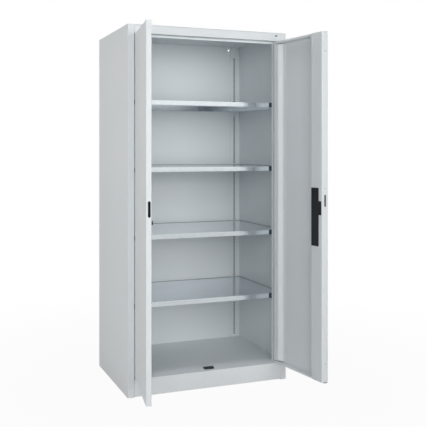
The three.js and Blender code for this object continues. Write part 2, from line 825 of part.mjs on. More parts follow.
leftDoor.position.set(leftX + hingeAxisX, hingeY, 0);
leftDoor.rotation.z = THREE.MathUtils.degToRad(-leftOpenDegrees);
place(leftDoor, 'left_door_leaf', leftLeaf(), lightGreyPaint);
place(leftDoor, 'left_door_stiffener', stiffener(), lightGreyPaint);
place(leftDoor, 'left_door_strike', strike(), zincSteel);
place(leftDoor, 'left_door_buffer', buffer(), blackRubber);
place(leftDoor, 'left_lower_bush', lowerBush(), paleNylon);
place(leftDoor, 'left_upper_bush', upperBush(), paleNylon);

// Right door: its pieces are worked out in the same frame as the left one's, and then mirrored.
function rightLeaf() {
  const rodHole = rodDiameter + 2 * hingeRunningGap;
  const holes = [
    roundBar(rodHole, bottomRodX, rodY, doorBottom - overrun, doorBottom + doorSheet + overrun),
    roundBar(rodHole, topRodX, rodY, doorTop - doorSheet - overrun, doorTop + overrun),
    roundBarAlongY(neckDiameter + 2 * hingeRunningGap, spindleX, handleHeight,
      leafOuterY - overrun, skinInnerY + overrun),
  ];
  return cut(leaf(leafClosingEdge + overrun, skinReturn), ...holes);
}

// The box section: its face stands behind the leaf, its near wall runs to the skin, and its far wall
// closes the leaf's edge. The face has the cut-out for the lock, and the edge has the bolt's slot.
function boxSection() {
  const flangeY = skinInnerY + seatGap + doorSheet;
  const section = foldedSheet([
    [boxHingeSide - boxFlange, flangeY],
    [boxHingeSide, flangeY],
    [boxHingeSide, boxFaceY],
    [leafClosingEdge, boxFaceY],
    [leafClosingEdge, leafOuterY + skinReturn + seatGap],
  ], doorSheet);
  const caseNearX = leafClosingEdge - caseFromEdge;
  const cutOut = block(caseNearX - caseWidth + caseRim, caseNearX - caseRim, boxFaceY - doorSheet - overrun,
    boxFaceY + overrun, caseBottom + caseRim, caseBottom + caseHeight - caseRim);
  const slot = longHole(leafOuterY + rightSlotSetback, rightSlotBottom + rightSlotHeight / 2,
    rightSlotWidth, rightSlotHeight);
  return cut(prismAlongZ(section, boxBottom, boxTop), cutOut,
    prismAlongX(slot, leafClosingEdge - doorSheet - overrun, leafClosingEdge + overrun));
}

// Lock case: the cover plate with its tab, a tray that goes in through the cut-out, and a boss that
// carries the inner end of the spindle.
function lockCase() {
  const x0 = leafClosingEdge - caseFromEdge - caseWidth;
  const x1 = leafClosingEdge - caseFromEdge;
  const z1 = caseBottom + caseHeight;
  const plate = prismAlongY(roundedPlan(x0, x1, caseBottom, z1, caseCornerRadius),
    caseFaceY, caseFaceY + caseThickness);
  const tab = prismAlongY(roundedPlan(x1 - 2 * caseCornerRadius, leafClosingEdge - caseTabFromEdge,
    caseTabBottom, caseTabBottom + caseTabHeight, caseCornerRadius), caseFaceY, caseFaceY + caseThickness);
  const edge = caseRim + seatGap;
  const inner = edge + caseWall;
  const trayBack = caseFaceY - caseBodyDepth;
  const tray = block(x0 + edge, x1 - edge, trayBack, caseFaceY + caseThickness / 2,
    caseBottom + edge, z1 - edge);
  const hollow = block(x0 + inner, x1 - inner, trayBack - overrun, caseFaceY,
    caseBottom + inner, z1 - inner);
  const bossBack = caseFaceY - caseBossDepth;
  const boss = roundBarAlongY(caseBossDiameter, spindleX, handleHeight, bossBack,
    caseFaceY + caseThickness / 2);
  const bore = roundBarAlongY(spindleDiameter + 2 * hingeRunningGap, spindleX, handleHeight,
    bossBack - overrun, caseFaceY - caseWall);
  return cut(join(plate, tab, cut(tray, hollow), boss), bore);
}

// The saw-tooth edge of a rack, as steps along it and heights above its pitch line. The teeth lie
// between the whole pitches, so that a space is centred on every whole pitch.
function rackTeethEdge(firstPitch, count) {
  const halfTooth = toothPitch / 4 - toothBacklash / 4;
  const tipHalf = halfTooth - toothAddendum * toothTaper;
  const rootHalf = halfTooth + toothDedendum * toothTaper;
  const points = [];
  for (let tooth = 0; tooth < count; tooth += 1) {
    const centre = (firstPitch + tooth + 1 / 2) * toothPitch;
    points.push([centre - rootHalf, -toothDedendum], [centre - tipHalf, toothAddendum],
      [centre + tipHalf, toothAddendum], [centre + rootHalf, -toothDedendum]);
  }
  return points;
}

// A rod: a round bar to the end of the door, with a toothed bar beside the pinion. way is -1 for the
// bottom rod, which is on the closing side of the pinion and goes down, and 1 for the top rod.
function rod(way) {
  const x = spindleX - way * rodOffset;
  const pitchX = spindleX - way * pitchRadius;
  const backX = x - way * rodDiameter / 2;
  const teeth = rackTeethEdge(-rackLeadTeeth, rackTeeth).map(([along, height]) =>
    [pitchX + way * height, handleHeight - way * along]);
  const first = teeth[0];
  const last = teeth[teeth.length - 1];
  const bar = prismAlongY(outline([
    [first[0], first[1] + way * rackEndLength],
    ...teeth,
    [last[0], last[1] - way * rackEndLength],
    [backX, last[1] - way * rackEndLength],
    [backX, first[1] + way * rackEndLength],
  ]), rodY - rodDiameter / 2, rodY + rodDiameter / 2);
  const tip = way > 0 ? doorTop - rodEndGap : doorBottom + rodEndGap;
  const foot = first[1];
  return join(bar, roundBar(rodDiameter, x, rodY, Math.min(tip, foot), Math.max(tip, foot)));
}

// The side bolt: a plate with its rack on the lower edge, over the pinion.
function sideBolt() {
  const tip = leafClosingEdge - seatGap;
  const pitchZ = handleHeight + pitchRadius;
  const teeth = rackTeethEdge(-rackLeadTeeth, rackTeeth).map(([along, height]) =>
    [spindleX - along, pitchZ - height]);
  const tail = teeth[teeth.length - 1][0] - sideBoltTail;
  const edgeZ = pitchZ + toothDedendum;
  return prismAlongY(outline([
    [tip, edgeZ],
    ...teeth,
    [tail, edgeZ],
    [tail, edgeZ + sideBoltHeight],
    [tip, edgeZ + sideBoltHeight],
  ]), leafOuterY + sideBoltSetback, leafOuterY + sideBoltSetback + sideBoltThickness);
}

// The pinion: tooth centres lie on both axes, opposite the spaces of the racks.
function pinion() {
  const rootRadius = pitchRadius - toothDedendum;
  const tipRadius = pitchRadius + toothAddendum;
  const halfTooth = toothPitch / 4 - toothBacklash / 4;
  const tipHalf = (halfTooth - toothAddendum * toothTaper) / tipRadius;
  const rootHalf = (halfTooth + toothDedendum * toothTaper) / rootRadius;
  const points = [];
  for (let tooth = 0; tooth < pinionTeeth; tooth += 1) {
    const centre = 2 * Math.PI * tooth / pinionTeeth;
    [[rootRadius, -rootHalf], [tipRadius, -tipHalf], [tipRadius, tipHalf], [rootRadius, rootHalf]]
      .forEach(([radius, turn]) => points.push([spindleX + radius * Math.cos(centre + turn),
        handleHeight + radius * Math.sin(centre + turn)]));
  }
  const near = leafOuterY + pinionSetback;
  const wheel = prismAlongY(outline(points), near, near + pinionLength);
  return cut(wheel, roundBarAlongY(spindleDiameter + 2 * seatGap, spindleX, handleHeight,
    near - overrun, near + pinionLength + overrun));
}

// Rod guides: blocks on the inside of the skin, one near each end of the door.
function rodGuide(x, bottom) {
  const near = skinInnerY + seatGap;
  const body = block(x - guideWidth / 2, x + guideWidth / 2, near, near + guideDepth,
    bottom, bottom + guideHeight);
  return cut(body, roundBar(rodDiameter + 2 * hingeRunningGap, x, rodY,
    bottom - overrun, bottom + guideHeight + overrun));
}

// Turn handle: a disc on the rosette, a long grip across it that stands upright while the lock is open,
// and the spindle through the door.
const rosetteNear = leafOuterY - seatGap;
const rosetteFar = rosetteNear - rosetteThickness;
const discNear = rosetteFar - hingeRunningGap;
const discFar = discNear - handleDiscThickness;
const discMiddle = (discNear + discFar) / 2;
const gripFar = discFar + gripSeating - gripHeight;

function rosette() {
  const plate = roundBarAlongY(rosetteDiameter, spindleX, handleHeight, rosetteFar, rosetteNear, roundSides);
  return cut(plate, roundBarAlongY(neckDiameter + 2 * hingeRunningGap, spindleX, handleHeight,
    rosetteFar - overrun, rosetteNear + overrun));
}

function grip() {
  const shape = longHole(0, 0, gripWidth - 2 * gripBevel, gripLength - 2 * gripBevel);
  const settings = { depth: gripHeight - 2 * gripBevel, bevelEnabled: true, bevelThickness: gripBevel,
    bevelSize: gripBevel, bevelSegments: 2 };
  const bar = new THREE.ExtrudeGeometry(shape, settings).applyMatrix4(alongYFromXZ);
  return bar.translate(spindleX, discFar + gripSeating - gripBevel, handleHeight);
}

function turnHandle() {
  const disc = roundBarAlongY(handleDiscDiameter, spindleX, handleHeight, discFar, discNear, roundSides);
  const neck = roundBarAlongY(neckDiameter, spindleX, handleHeight, discMiddle, leafOuterY + neckInside);
  const spindle = roundBarAlongY(spindleDiameter, spindleX, handleHeight, discMiddle,
    leafOuterY + spindleEnd);
  const bore = roundBarAlongY(keyCoreDiameter + 2 * hingeRunningGap, spindleX, handleHeight,
    gripFar - overrun, gripFar + keyCoreLength + seatGap);
  return cut(join(disc, grip(), neck, spindle), bore);
}

function keyCore() {
  const far = gripFar - keyCoreProud;
  const core = roundBarAlongY(keyCoreDiameter, spindleX, handleHeight, far, gripFar + keyCoreLength);
  const keyway = block(spindleX - keySlotWidth / 2, spindleX + keySlotWidth / 2, far - overrun,
    far + keySlotDepth, handleHeight - keySlotLength / 2, handleHeight + keySlotLength / 2);
  return cut(core, keyway);
}

rightDoor.position.set(rightX - hingeAxisX, hingeY, 0);
rightDoor.rotation.z = THREE.MathUtils.degToRad(rightOpenDegrees);
const rightDoorPieces = [
  ['right_door_leaf', rightLeaf(), lightGreyPaint],
  ['right_door_box_section', boxSection(), lightGreyPaint],
  ['right_lower_bush', lowerBush(), paleNylon],
  ['right_upper_bush', upperBush(), paleNylon],
  ['lock_case', lockCase(), blackPlastic],
  ['top_rod_guide', rodGuide(topRodX, boxTop - guideFromEnd - guideHeight), blackPlastic],
  ['bottom_rod_guide', rodGuide(bottomRodX, boxBottom + guideFromEnd), blackPlastic],
  ['top_rod', rod(1), brightSteel],
  ['bottom_rod', rod(-1), brightSteel],
  ['side_bolt', sideBolt(), blackPlastic],
  ['drive_pinion', pinion(), brightSteel],
  ['handle_rosette', rosette(), blackPlastic],
  ['turn_handle', turnHandle(), blackPlastic],
  ['key_cylinder', keyCore(), brightSteel],
];
rightDoorPieces.forEach(([name, geometry, material]) => place(rightDoor, name, mirrored(geometry), material));

// The cabinet stands with the middle of its overall size, doors open, over the origin.
const overallCentre = new THREE.Box3().setFromObject(cabinet, true).getCenter(new THREE.Vector3());
cabinet.position.set(-overallCentre.x, -overallCentre.y, 0);

export default cabinet;
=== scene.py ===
# %% [markdown]
# # A two-door tool cabinet, dressed for its portrait
#
# The cabinet is folded sheet steel: a light grey powder coated body, galvanised shelves, and a black
# lock in the right door. The construction comes in finished, as a fixed frame of named pieces. This
# lesson makes the surfaces: soft folds, paint, zinc, plastic and rubber. The frame is in metres. The
# sizes of the new pieces are in millimetres, as on a drawing, until each piece is put in its place.

import json
import math

import bmesh
import bpy
import numpy as np
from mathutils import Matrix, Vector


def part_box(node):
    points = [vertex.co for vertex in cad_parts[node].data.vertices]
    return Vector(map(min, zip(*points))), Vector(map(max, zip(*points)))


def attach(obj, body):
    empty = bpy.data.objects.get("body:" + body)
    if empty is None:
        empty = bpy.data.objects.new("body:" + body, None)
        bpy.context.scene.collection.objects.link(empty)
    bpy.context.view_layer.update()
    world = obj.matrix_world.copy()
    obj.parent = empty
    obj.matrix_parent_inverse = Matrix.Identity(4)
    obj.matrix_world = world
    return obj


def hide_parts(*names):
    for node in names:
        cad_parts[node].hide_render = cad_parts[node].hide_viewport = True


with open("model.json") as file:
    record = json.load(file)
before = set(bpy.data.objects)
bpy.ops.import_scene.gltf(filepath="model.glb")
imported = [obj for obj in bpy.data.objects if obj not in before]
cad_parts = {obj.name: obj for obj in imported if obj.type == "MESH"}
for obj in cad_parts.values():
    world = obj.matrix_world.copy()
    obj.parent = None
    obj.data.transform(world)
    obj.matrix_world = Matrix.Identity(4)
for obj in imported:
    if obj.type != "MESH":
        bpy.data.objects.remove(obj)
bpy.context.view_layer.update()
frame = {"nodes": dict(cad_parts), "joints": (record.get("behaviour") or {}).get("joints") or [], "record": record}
mm = 0.001

# %% [markdown]
# ## The camera
#
# The photograph was taken with a level camera, so upright edges stay upright, and the picture was
# cropped off its centre. A tilted camera would make the uprights lean. Instead the camera stays level
# and its lens is shifted, which moves the frame and leaves the perspective alone.

# %% Place the camera
camera_place = (-1.5287, -3.6277, 1.2974)
camera_turn = math.radians(20.05)
lens_length = 59.63
lens_shift = (0.1019, -0.1509)

camera_data = bpy.data.cameras.new("camera")
camera_data.sensor_width = 36
camera_data.lens = lens_length
camera_data.shift_x, camera_data.shift_y = lens_shift
camera = bpy.data.objects.new("camera", camera_data)
camera.location = camera_place
camera.rotation_euler = (math.radians(90), 0, -camera_turn)
bpy.context.scene.collection.objects.link(camera)
bpy.context.scene.camera = camera
print("camera", camera_place, "turned", round(math.degrees(camera_turn), 2), "degrees from straight on")

# %% [markdown]
# ## Node groups: the small things that happen to a surface
#
# Powder coat, zinc and moulded plastic all show fine relief and slow changes of tone. These effects
# are used by more than one material, so each is a node group with named inputs. A group only gives out
# values that change over the surface. The shader itself stays in the material.

# %% A helper that starts a node group
def new_group(name, inputs, outputs):
    """A node group with these sockets: inputs as (name, kind, value), outputs as (name, kind)."""
    group = bpy.data.node_groups.new(name, "ShaderNodeTree")
    for label, kind, value in inputs:
        socket = group.interface.new_socket(label, in_out="INPUT", socket_type=f"NodeSocket{kind}")
        socket.default_value = value
    for label, kind in outputs:
        group.interface.new_socket(label, in_out="OUTPUT", socket_type=f"NodeSocket{kind}")
    start = group.nodes.new("NodeGroupInput")
    end = group.nodes.new("NodeGroupOutput")
    return group, start.outputs, end.inputs


def feed(tree, value, socket):
    """Gives an input its value: a link from another socket, a colour (red, green, blue) or a number."""
    if isinstance(value, bpy.types.NodeSocket):
        tree.links.new(value, socket)
    else:
        socket.default_value = (*value, 1.0) if isinstance(value, tuple) else value


def math_node(tree, operation, *values, clamp=False):
    """One Math node. Each value is a socket or a number, and MULTIPLY_ADD gives first * second + third.
    Returns its output."""
    node = tree.nodes.new("ShaderNodeMath")
    node.operation = operation
    node.use_clamp = clamp
    for socket, value in zip(node.inputs, values):
        feed(tree, value, socket)
    return node.outputs[0]


def noise_node(tree, place, scale, detail=3.0, roughness=0.5):
    """Fractal noise at a place in object space. Returns its value socket."""
    node = tree.nodes.new("ShaderNodeTexNoise")
    tree.links.new(place, node.inputs["Vector"])
    node.inputs["Detail"].default_value = detail
    node.inputs["Roughness"].default_value = roughness
    feed(tree, scale, node.inputs["Scale"])
    return node.outputs[0]


def object_place(tree):
    """The object coordinates, which are metres in the cabinet's own frame."""
    return tree.nodes.new("ShaderNodeTexCoord").outputs["Object"]


# %% Coat grain: the orange peel of powder coat and the fine texture of moulded plastic
def make_coat_grain():
    """Two sizes of noise added together as a height: a broad ripple and a fine grain."""
    group, given, result = new_group(
        "coat_grain",
        [("Ripple Scale", "Float", 250.0), ("Ripple Height", "Float", 0.6),
         ("Grain Scale", "Float", 1400.0), ("Grain Height", "Float", 0.4)],
        [("Height", "Float")])
    place = object_place(group)
    ripple = noise_node(group, place, given["Ripple Scale"], detail=1.0)
    grain = noise_node(group, place, given["Grain Scale"], detail=2.0)
    ripple_height = math_node(group, "MULTIPLY", ripple, given["Ripple Height"])
    grain_height = math_node(group, "MULTIPLY", grain, given["Grain Height"])
    group.links.new(math_node(group, "ADD", ripple_height, grain_height), result["Height"])
    return group


coat_grain = make_coat_grain()
print("coat grain:", len(coat_grain.nodes), "nodes")

# %% Soft soiling: slow clouds of tone, and a little dust that settles low down
def make_soft_soiling():
    """Clouded noise about zero, and a speckled band of dust that fades out above the ground."""
    group, given, result = new_group(
        "soft_soiling",
        [("Cloud Scale", "Float", 2.5), ("Cloud Strength", "Float", 0.5),
         ("Dust Height", "Float", 0.12), ("Dust Strength", "Float", 0.5)],
        [("Cloud", "Float"), ("Dust", "Float")])
    place = object_place(group)
    cloud = noise_node(group, place, given["Cloud Scale"], detail=4.0, roughness=0.55)
    centred = math_node(group, "SUBTRACT", cloud, 0.5)
    group.links.new(math_node(group, "MULTIPLY", centred, given["Cloud Strength"]), result["Cloud"])
    apart = group.nodes.new("ShaderNodeSeparateXYZ")
    group.links.new(place, apart.inputs[0])
    share = math_node(group, "DIVIDE", apart.outputs["Z"], given["Dust Height"])
    band = math_node(group, "SUBTRACT", 1.0, share, clamp=True)
    speckle = noise_node(group, place, 60.0, detail=3.0)
    dusty = math_node(group, "MULTIPLY", band, speckle)
    group.links.new(math_node(group, "MULTIPLY", dusty, given["Dust Strength"]), result["Dust"])
    return group


soft_soiling = make_soft_soiling()
print("soft soiling:", len(soft_soiling.nodes), "nodes")

# %% Edge wear and highlight: where a corner stands out the coat is thinner, and a painted highlight lightens it
def make_edge_wear_and_highlight():
    """The angle between the true normal and a normal rounded over a small radius marks the edges, for wear and a
    painted highlight.
    """
    group, given, result = new_group(
        "edge_wear_and_highlight",
        [("Radius", "Float", 0.0012), ("Strength", "Float", 1.0)],
        [("Edge", "Float"), ("Soft Normal", "Vector")])
    rounded = group.nodes.new("ShaderNodeBevel")
    rounded.samples = 4
    group.links.new(given["Radius"], rounded.inputs["Radius"])
    group.links.new(rounded.outputs[0], result["Soft Normal"])
    facing = group.nodes.new("ShaderNodeNewGeometry")
    across = group.nodes.new("ShaderNodeVectorMath")
    across.operation = "DOT_PRODUCT"
    group.links.new(rounded.outputs[0], across.inputs[0])
    group.links.new(facing.outputs["Normal"], across.inputs[1])
    turned = math_node(group, "SUBTRACT", 1.0, across.outputs["Value"], clamp=True)
    patchy = noise_node(group, object_place(group), 90.0, detail=4.0, roughness=0.6)
    # This patchy edge mask stands for wear and a painted highlight together.
    wear_and_highlight = math_node(group, "MULTIPLY", turned, patchy)
    group.links.new(math_node(group, "MULTIPLY", wear_and_highlight, given["Strength"], clamp=True), result["Edge"])
    return group


edge_wear_and_highlight = make_edge_wear_and_highlight()
print("worn edges:", len(edge_wear_and_highlight.nodes), "nodes")

# %% Zinc spangle: the frozen crystals of hot-dip galvanising
def make_zinc_spangle():
    """Voronoi cells about a centimetre across, each with its own tone, and streaks drawn out sideways."""
    group, given, result = new_group(
        "zinc_spangle",
        [("Cell Scale", "Float", 90.0), ("Streak Scale", "Float", 6.0)],
        [("Tone", "Float"), ("Streak", "Float")])
    place = object_place(group)
    cells = group.nodes.new("ShaderNodeTexVoronoi")
    group.links.new(place, cells.inputs["Vector"])
    group.links.new(given["Cell Scale"], cells.inputs["Scale"])
    apart = group.nodes.new("ShaderNodeSeparateColor")
    group.links.new(cells.outputs["Color"], apart.inputs[0])
    group.links.new(math_node(group, "SUBTRACT", apart.outputs[0], 0.5), result["Tone"])
    stretched = group.nodes.new("ShaderNodeMapping")
    stretched.inputs["Scale"].default_value = (0.35, 1.0, 1.0)
    group.links.new(place, stretched.inputs["Vector"])
    streak = noise_node(group, stretched.outputs[0], given["Streak Scale"], detail=5.0, roughness=0.6)
    group.links.new(math_node(group, "SUBTRACT", streak, 0.5), result["Streak"])
    return group


zinc_spangle = make_zinc_spangle()
print("zinc spangle:", len(zinc_spangle.nodes), "nodes")

# %% [markdown]
# ## Materials
#
# Each finish is one function. The colour of a surface is mixed from a plain tone and the masks that the
# groups give out, and the relief goes through a Bump node. The distances are real: a powder coat's peel
# is a few hundredths of a millimetre high.

# %% Helpers for materials
def new_material(name):
    """A material with its Principled shader, as (material, tree, shader inputs)."""
    material = bpy.data.materials.new(name)
    material.use_nodes = True
    tree = material.node_tree
    return material, tree, tree.nodes["Principled BSDF"].inputs


def use_group(tree, group, **values):
    """Places a node group, with some of its inputs set. A socket's name has spaces for underscores."""
    node = tree.nodes.new("ShaderNodeGroup")
    node.node_tree = group
    for label, value in values.items():
        node.inputs[label.replace("_", " ").title()].default_value = value
    return node.outputs


def mixed_colour(tree, factor, first, second):
    """A colour that goes from first to second as factor goes from 0 to 1."""
    node = tree.nodes.new("ShaderNodeMix")
    node.data_type = "RGBA"
    tree.links.new(factor, node.inputs["Factor"])
    feed(tree, first, node.inputs[6])
    feed(tree, second, node.inputs[7])
    return node.outputs[2]


def add_grain(tree, shader, ripple, grain, distance, soft_normal=None):
    """Relief from the coat grain, with ripple and grain each given as (scale, height). A height of 1 stands
    for this distance in metres, and the relief lies on a softened normal if one is given."""
    coat = use_group(tree, coat_grain, ripple_scale=ripple[0], ripple_height=ripple[1],
                     grain_scale=grain[0], grain_height=grain[1])
    bump = tree.nodes.new("ShaderNodeBump")
    bump.inputs["Distance"].default_value = distance
    bump.inputs["Strength"].default_value = 1.0
    tree.links.new(coat["Height"], bump.inputs["Height"])
    if soft_normal:
        tree.links.new(soft_normal, bump.inputs["Normal"])
    tree.links.new(bump.outputs[0], shader["Normal"])


def vary_roughness(tree, shader, mask, spread, middle):
    """roughness = mask * spread + middle"""
    tree.links.new(math_node(tree, "MULTIPLY_ADD", mask, spread, middle), shader["Roughness"])


# %% Light grey powder coat
paint_tone = (0.805, 0.842, 0.862)
paint_deep_tone = (0.75, 0.787, 0.807)
# The lighter edge tone stands for wear and a painted highlight along the edges.
paint_highlight_tone = (0.88, 0.905, 0.92)
dust_tone = (0.47, 0.45, 0.42)


def powder_coat():
    """Satin paint: clouded tone, dust low down, edges lighter from wear and a painted highlight, orange peel
    relief.
    """
    material, tree, shader = new_material("light_grey_powder_coat")
    soil = use_group(tree, soft_soiling, cloud_scale=2.2, cloud_strength=0.5, dust_strength=0.25)
    wear_and_highlight = use_group(tree, edge_wear_and_highlight, radius=0.0012, strength=1.6)
    clouded = math_node(tree, "ADD", soil["Cloud"], 0.2, clamp=True)
    base = mixed_colour(tree, clouded, paint_tone, paint_deep_tone)
    dusty = mixed_colour(tree, soil["Dust"], base, dust_tone)
    # Edges go lighter: wear and a painted highlight.
    tree.links.new(mixed_colour(tree, wear_and_highlight["Edge"], dusty, paint_highlight_tone), shader["Base Color"])
    vary_roughness(tree, shader, soil["Cloud"], 0.25, 0.42)
    add_grain(tree, shader, (330.0, 0.7), (1500.0, 0.3), 0.00006, wear_and_highlight["Soft Normal"])
    return material


# %% Galvanised sheet
zinc_tone = (0.70, 0.76, 0.80)
zinc_pale_tone = (0.87, 0.92, 0.95)


def galvanised_sheet():
    """Zinc: a metal whose crystals differ a little in tone, with soft streaks in its roughness."""
    material, tree, shader = new_material("galvanised_sheet")
    spangle = use_group(tree, zinc_spangle, cell_scale=85.0, streak_scale=7.0)
    tone = math_node(tree, "MULTIPLY_ADD", spangle["Tone"], 0.25, 0.5)
    streaked = math_node(tree, "ADD", tone, spangle["Streak"], clamp=True)
    tree.links.new(mixed_colour(tree, streaked, zinc_tone, zinc_pale_tone), shader["Base Color"])
    shader["Metallic"].default_value = 1.0
    vary_roughness(tree, shader, spangle["Streak"], 0.15, 0.14)
    add_grain(tree, shader, (120.0, 0.8), (900.0, 0.2), 0.00004)
    return material


# %% Bright steel, and a nearly black steel that paints the shade in the side bolt's hole
steel_tone = (0.56, 0.57, 0.58)
# Nearly black tones: painted shade for the side bolt's hole.
bolt_shade_tone, bolt_shade_cloud_tone = (0.012, 0.013, 0.014), (0.03, 0.031, 0.033)


def bright_steel():
    """Turned and drawn steel: a metal with fine relief and a slightly cloudy polish."""
    material, tree, shader = new_material("bright_steel")
    feed(tree, steel_tone, shader["Base Color"])
    shader["Metallic"].default_value = 1.0
    soil = use_group(tree, soft_soiling, cloud_scale=40.0, cloud_strength=0.6, dust_strength=0.0)
    vary_roughness(tree, shader, soil["Cloud"], 0.3, 0.3)
    add_grain(tree, shader, (900.0, 0.3), (3000.0, 0.7), 0.00001)
    return material


def shade_dark_steel():
    """Nearly black half metal with a cloudy sheen, which paints the shade in the side bolt's hole."""
    material, tree, shader = new_material("shade_dark_steel")
    soil = use_group(tree, soft_soiling, cloud_scale=60.0, cloud_strength=0.8, dust_strength=0.0)
    clouded = math_node(tree, "ADD", soil["Cloud"], 0.4, clamp=True)
    tree.links.new(mixed_colour(tree, clouded, bolt_shade_tone, bolt_shade_cloud_tone), shader["Base Color"])
    shader["Metallic"].default_value = 0.5
    vary_roughness(tree, shader, soil["Cloud"], 0.3, 0.5)
    add_grain(tree, shader, (600.0, 0.3), (2500.0, 0.7), 0.00001)
    return material


# %% Plastics, rubber and aluminium
aluminium_tone = (0.16, 0.14, 0.12)


def moulded_plastic(name, tone, rim_highlight_tone, roughness, grain_depth):
    """Moulded plastic: an even tone, a fine grain, and edges made a little lighter by a painted highlight and a
    little wear.
    """
    material, tree, shader = new_material(name)
    wear_and_highlight = use_group(tree, edge_wear_and_highlight, radius=0.0006, strength=1.5)
    # Edges go lighter: a painted highlight and a little wear.
    tree.links.new(mixed_colour(tree, wear_and_highlight["Edge"], tone, rim_highlight_tone), shader["Base Color"])
    soil = use_group(tree, soft_soiling, cloud_scale=25.0, cloud_strength=0.5, dust_strength=0.0)
    vary_roughness(tree, shader, soil["Cloud"], 0.2, roughness)
    add_grain(tree, shader, (700.0, 0.4), (2600.0, 0.6), grain_depth, wear_and_highlight["Soft Normal"])
    return material


def plain_aluminium():
    """Dark anodised aluminium: the brushing shows as a fine relief."""
    material, tree, shader = new_material("anodised_aluminium")
    feed(tree, aluminium_tone, shader["Base Color"])
    shader["Metallic"].default_value = 0.9
    add_grain(tree, shader, (500.0, 0.2), (4000.0, 0.8), 0.00001)
    shader["Roughness"].default_value = 0.45
    return material


finishes = {
    "light_grey_paint": powder_coat(),
    "zinc_steel": galvanised_sheet(),
    "bright_steel": bright_steel(),
    "black_plastic": moulded_plastic("black_moulded_plastic", (0.012, 0.013, 0.015), (0.06, 0.062, 0.065),
                                     0.45, 0.00003),
    "pale_nylon": moulded_plastic("natural_nylon", (0.70, 0.68, 0.62), (0.80, 0.79, 0.74), 0.4, 0.00001),
    "black_rubber": moulded_plastic("black_rubber", (0.010, 0.010, 0.010), (0.03, 0.03, 0.03), 0.75, 0.00004),
    "plain_aluminium": plain_aluminium(),
}
# A dark slate plastic that paints the shade at the ends of the shelves' front lips.
painted_shade_plastic = moulded_plastic("painted_shade_slate_plastic", (0.030, 0.052, 0.064), (0.07, 0.10, 0.12), 0.5,
                                0.00003)
print("finishes:", sorted(finishes))

# %% [markdown]
# ## Finish the pieces of the frame
#
# Most sheet pieces already have their exact shape, so they stay and only get their finish. The record
# says which slot each piece belongs to. The side bolt is the one exception: the photo shows its hole
# black with shade, and that shade is painted on the bolt, which is made nearly black.

# %% Give every piece its finish
slot_of = {row["node"]: row["material_slot"] for row in frame["record"]["subparts"]}
for node, piece in frame["nodes"].items():
    piece.data.materials.clear()
    piece.data.materials.append(finishes[slot_of[node]])
# The side bolt is made nearly black: painted shade for its hole.
frame["nodes"]["side_bolt"].data.materials[0] = shade_dark_steel()
print("finished", len(frame["nodes"]), "pieces of the frame")

# %% [markdown]
# ## How the new pieces are made
#
# A folded or moulded piece could be modelled by hand, or cut with booleans. Here each one is a loft: a
# ring of points is worked out with numpy, copied with small changes of size and height, and neighbouring
# rings are joined with quads. That gives true folds and rounded rims from a few real sizes.

# %% Rings and profiles
def unit(vectors):
    """Every vector divided by its own length."""
    return vectors / np.linalg.norm(vectors, axis=-1, keepdims=True)


def rectangle(left, right, bottom, top):
    """The four corners of a rectangle, anticlockwise."""
    return [(left, bottom), (right, bottom), (right, top), (left, top)]


def inset_corners(corners, inset):
    """Every edge of an anticlockwise outline moved inwards: corner + inset * (n1 + n2) / (1 + n1 . n2),
    where n1 and n2 are the inward normals of the two edges that meet at the corner."""
    corners = np.asarray(corners, float)
    ahead = unit(np.roll(corners, -1, axis=0) - corners)
    after = np.stack([-ahead[:, 1], ahead[:, 0]], axis=1)
    before = np.roll(after, 1, axis=0)
    share = inset / (1 + (before * after).sum(axis=1, keepdims=True))
    return corners + share * (before + after)


def soft_corners(before, corner, after, radius, steps):
    """Each corner P turned into a curve, P + (1 - t)^2 (A - P) + t^2 (B - P), with A and B a radius away."""
    t = np.linspace(0, 1, steps)[None, :, None]
    back = unit(before - corner)[:, None] * radius
    on = unit(after - corner)[:, None] * radius
    return (corner[:, None] + (1 - t) ** 2 * back + t ** 2 * on).reshape(-1, 2)


def outline_ring(corners, inset=0.0, radius=2.0, steps=5):
    """A closed outline, moved inwards and with soft corners."""
    point = inset_corners(corners, inset)
    return soft_corners(np.roll(point, 1, axis=0), point, np.roll(point, -1, axis=0), radius, steps)


def soft_profile(points, radius, steps=5):
    """An open profile of (inset, height) pairs, whose inner corners become curves."""
    points = np.asarray(points, float)
    curved = soft_corners(points[:-2], points[1:-1], points[2:], radius, steps)
    return np.vstack([points[:1], curved, points[-1:]])


def raised(ring, height, order=(0, 1, 2)):
    """A flat ring at a height; order puts the columns in the piece's own axes."""
    return np.column_stack([ring, np.full(len(ring), height)])[:, order]


def round_ring(radius, count=32):
    """Points on a circle: radius times (cos a, sin a)."""
    angle = np.arange(count) * 2 * math.pi / count
    return radius * np.column_stack([np.cos(angle), np.sin(angle)])


# %% From rings to an object
def loft(rings, closed=False):
    """Quads between neighbouring rings, point k to point k. An open loft gets a flat face over each end,
    and a closed one joins its last ring to its first. Returns points, quads and end faces."""
    rings = np.asarray(rings, float)
    count, size = rings.shape[:2]
    number = np.arange(count * size).reshape(count, size)
    here, there = (number, np.roll(number, -1, axis=0)) if closed else (number[:-1], number[1:])
    quads = np.stack([here, np.roll(here, -1, axis=1), np.roll(there, -1, axis=1), there], axis=-1)
    ends = [] if closed else [number[0][::-1], number[-1]]
    return rings.reshape(-1, 3), quads.reshape(-1, 4), ends


smooth_below = math.radians(40)


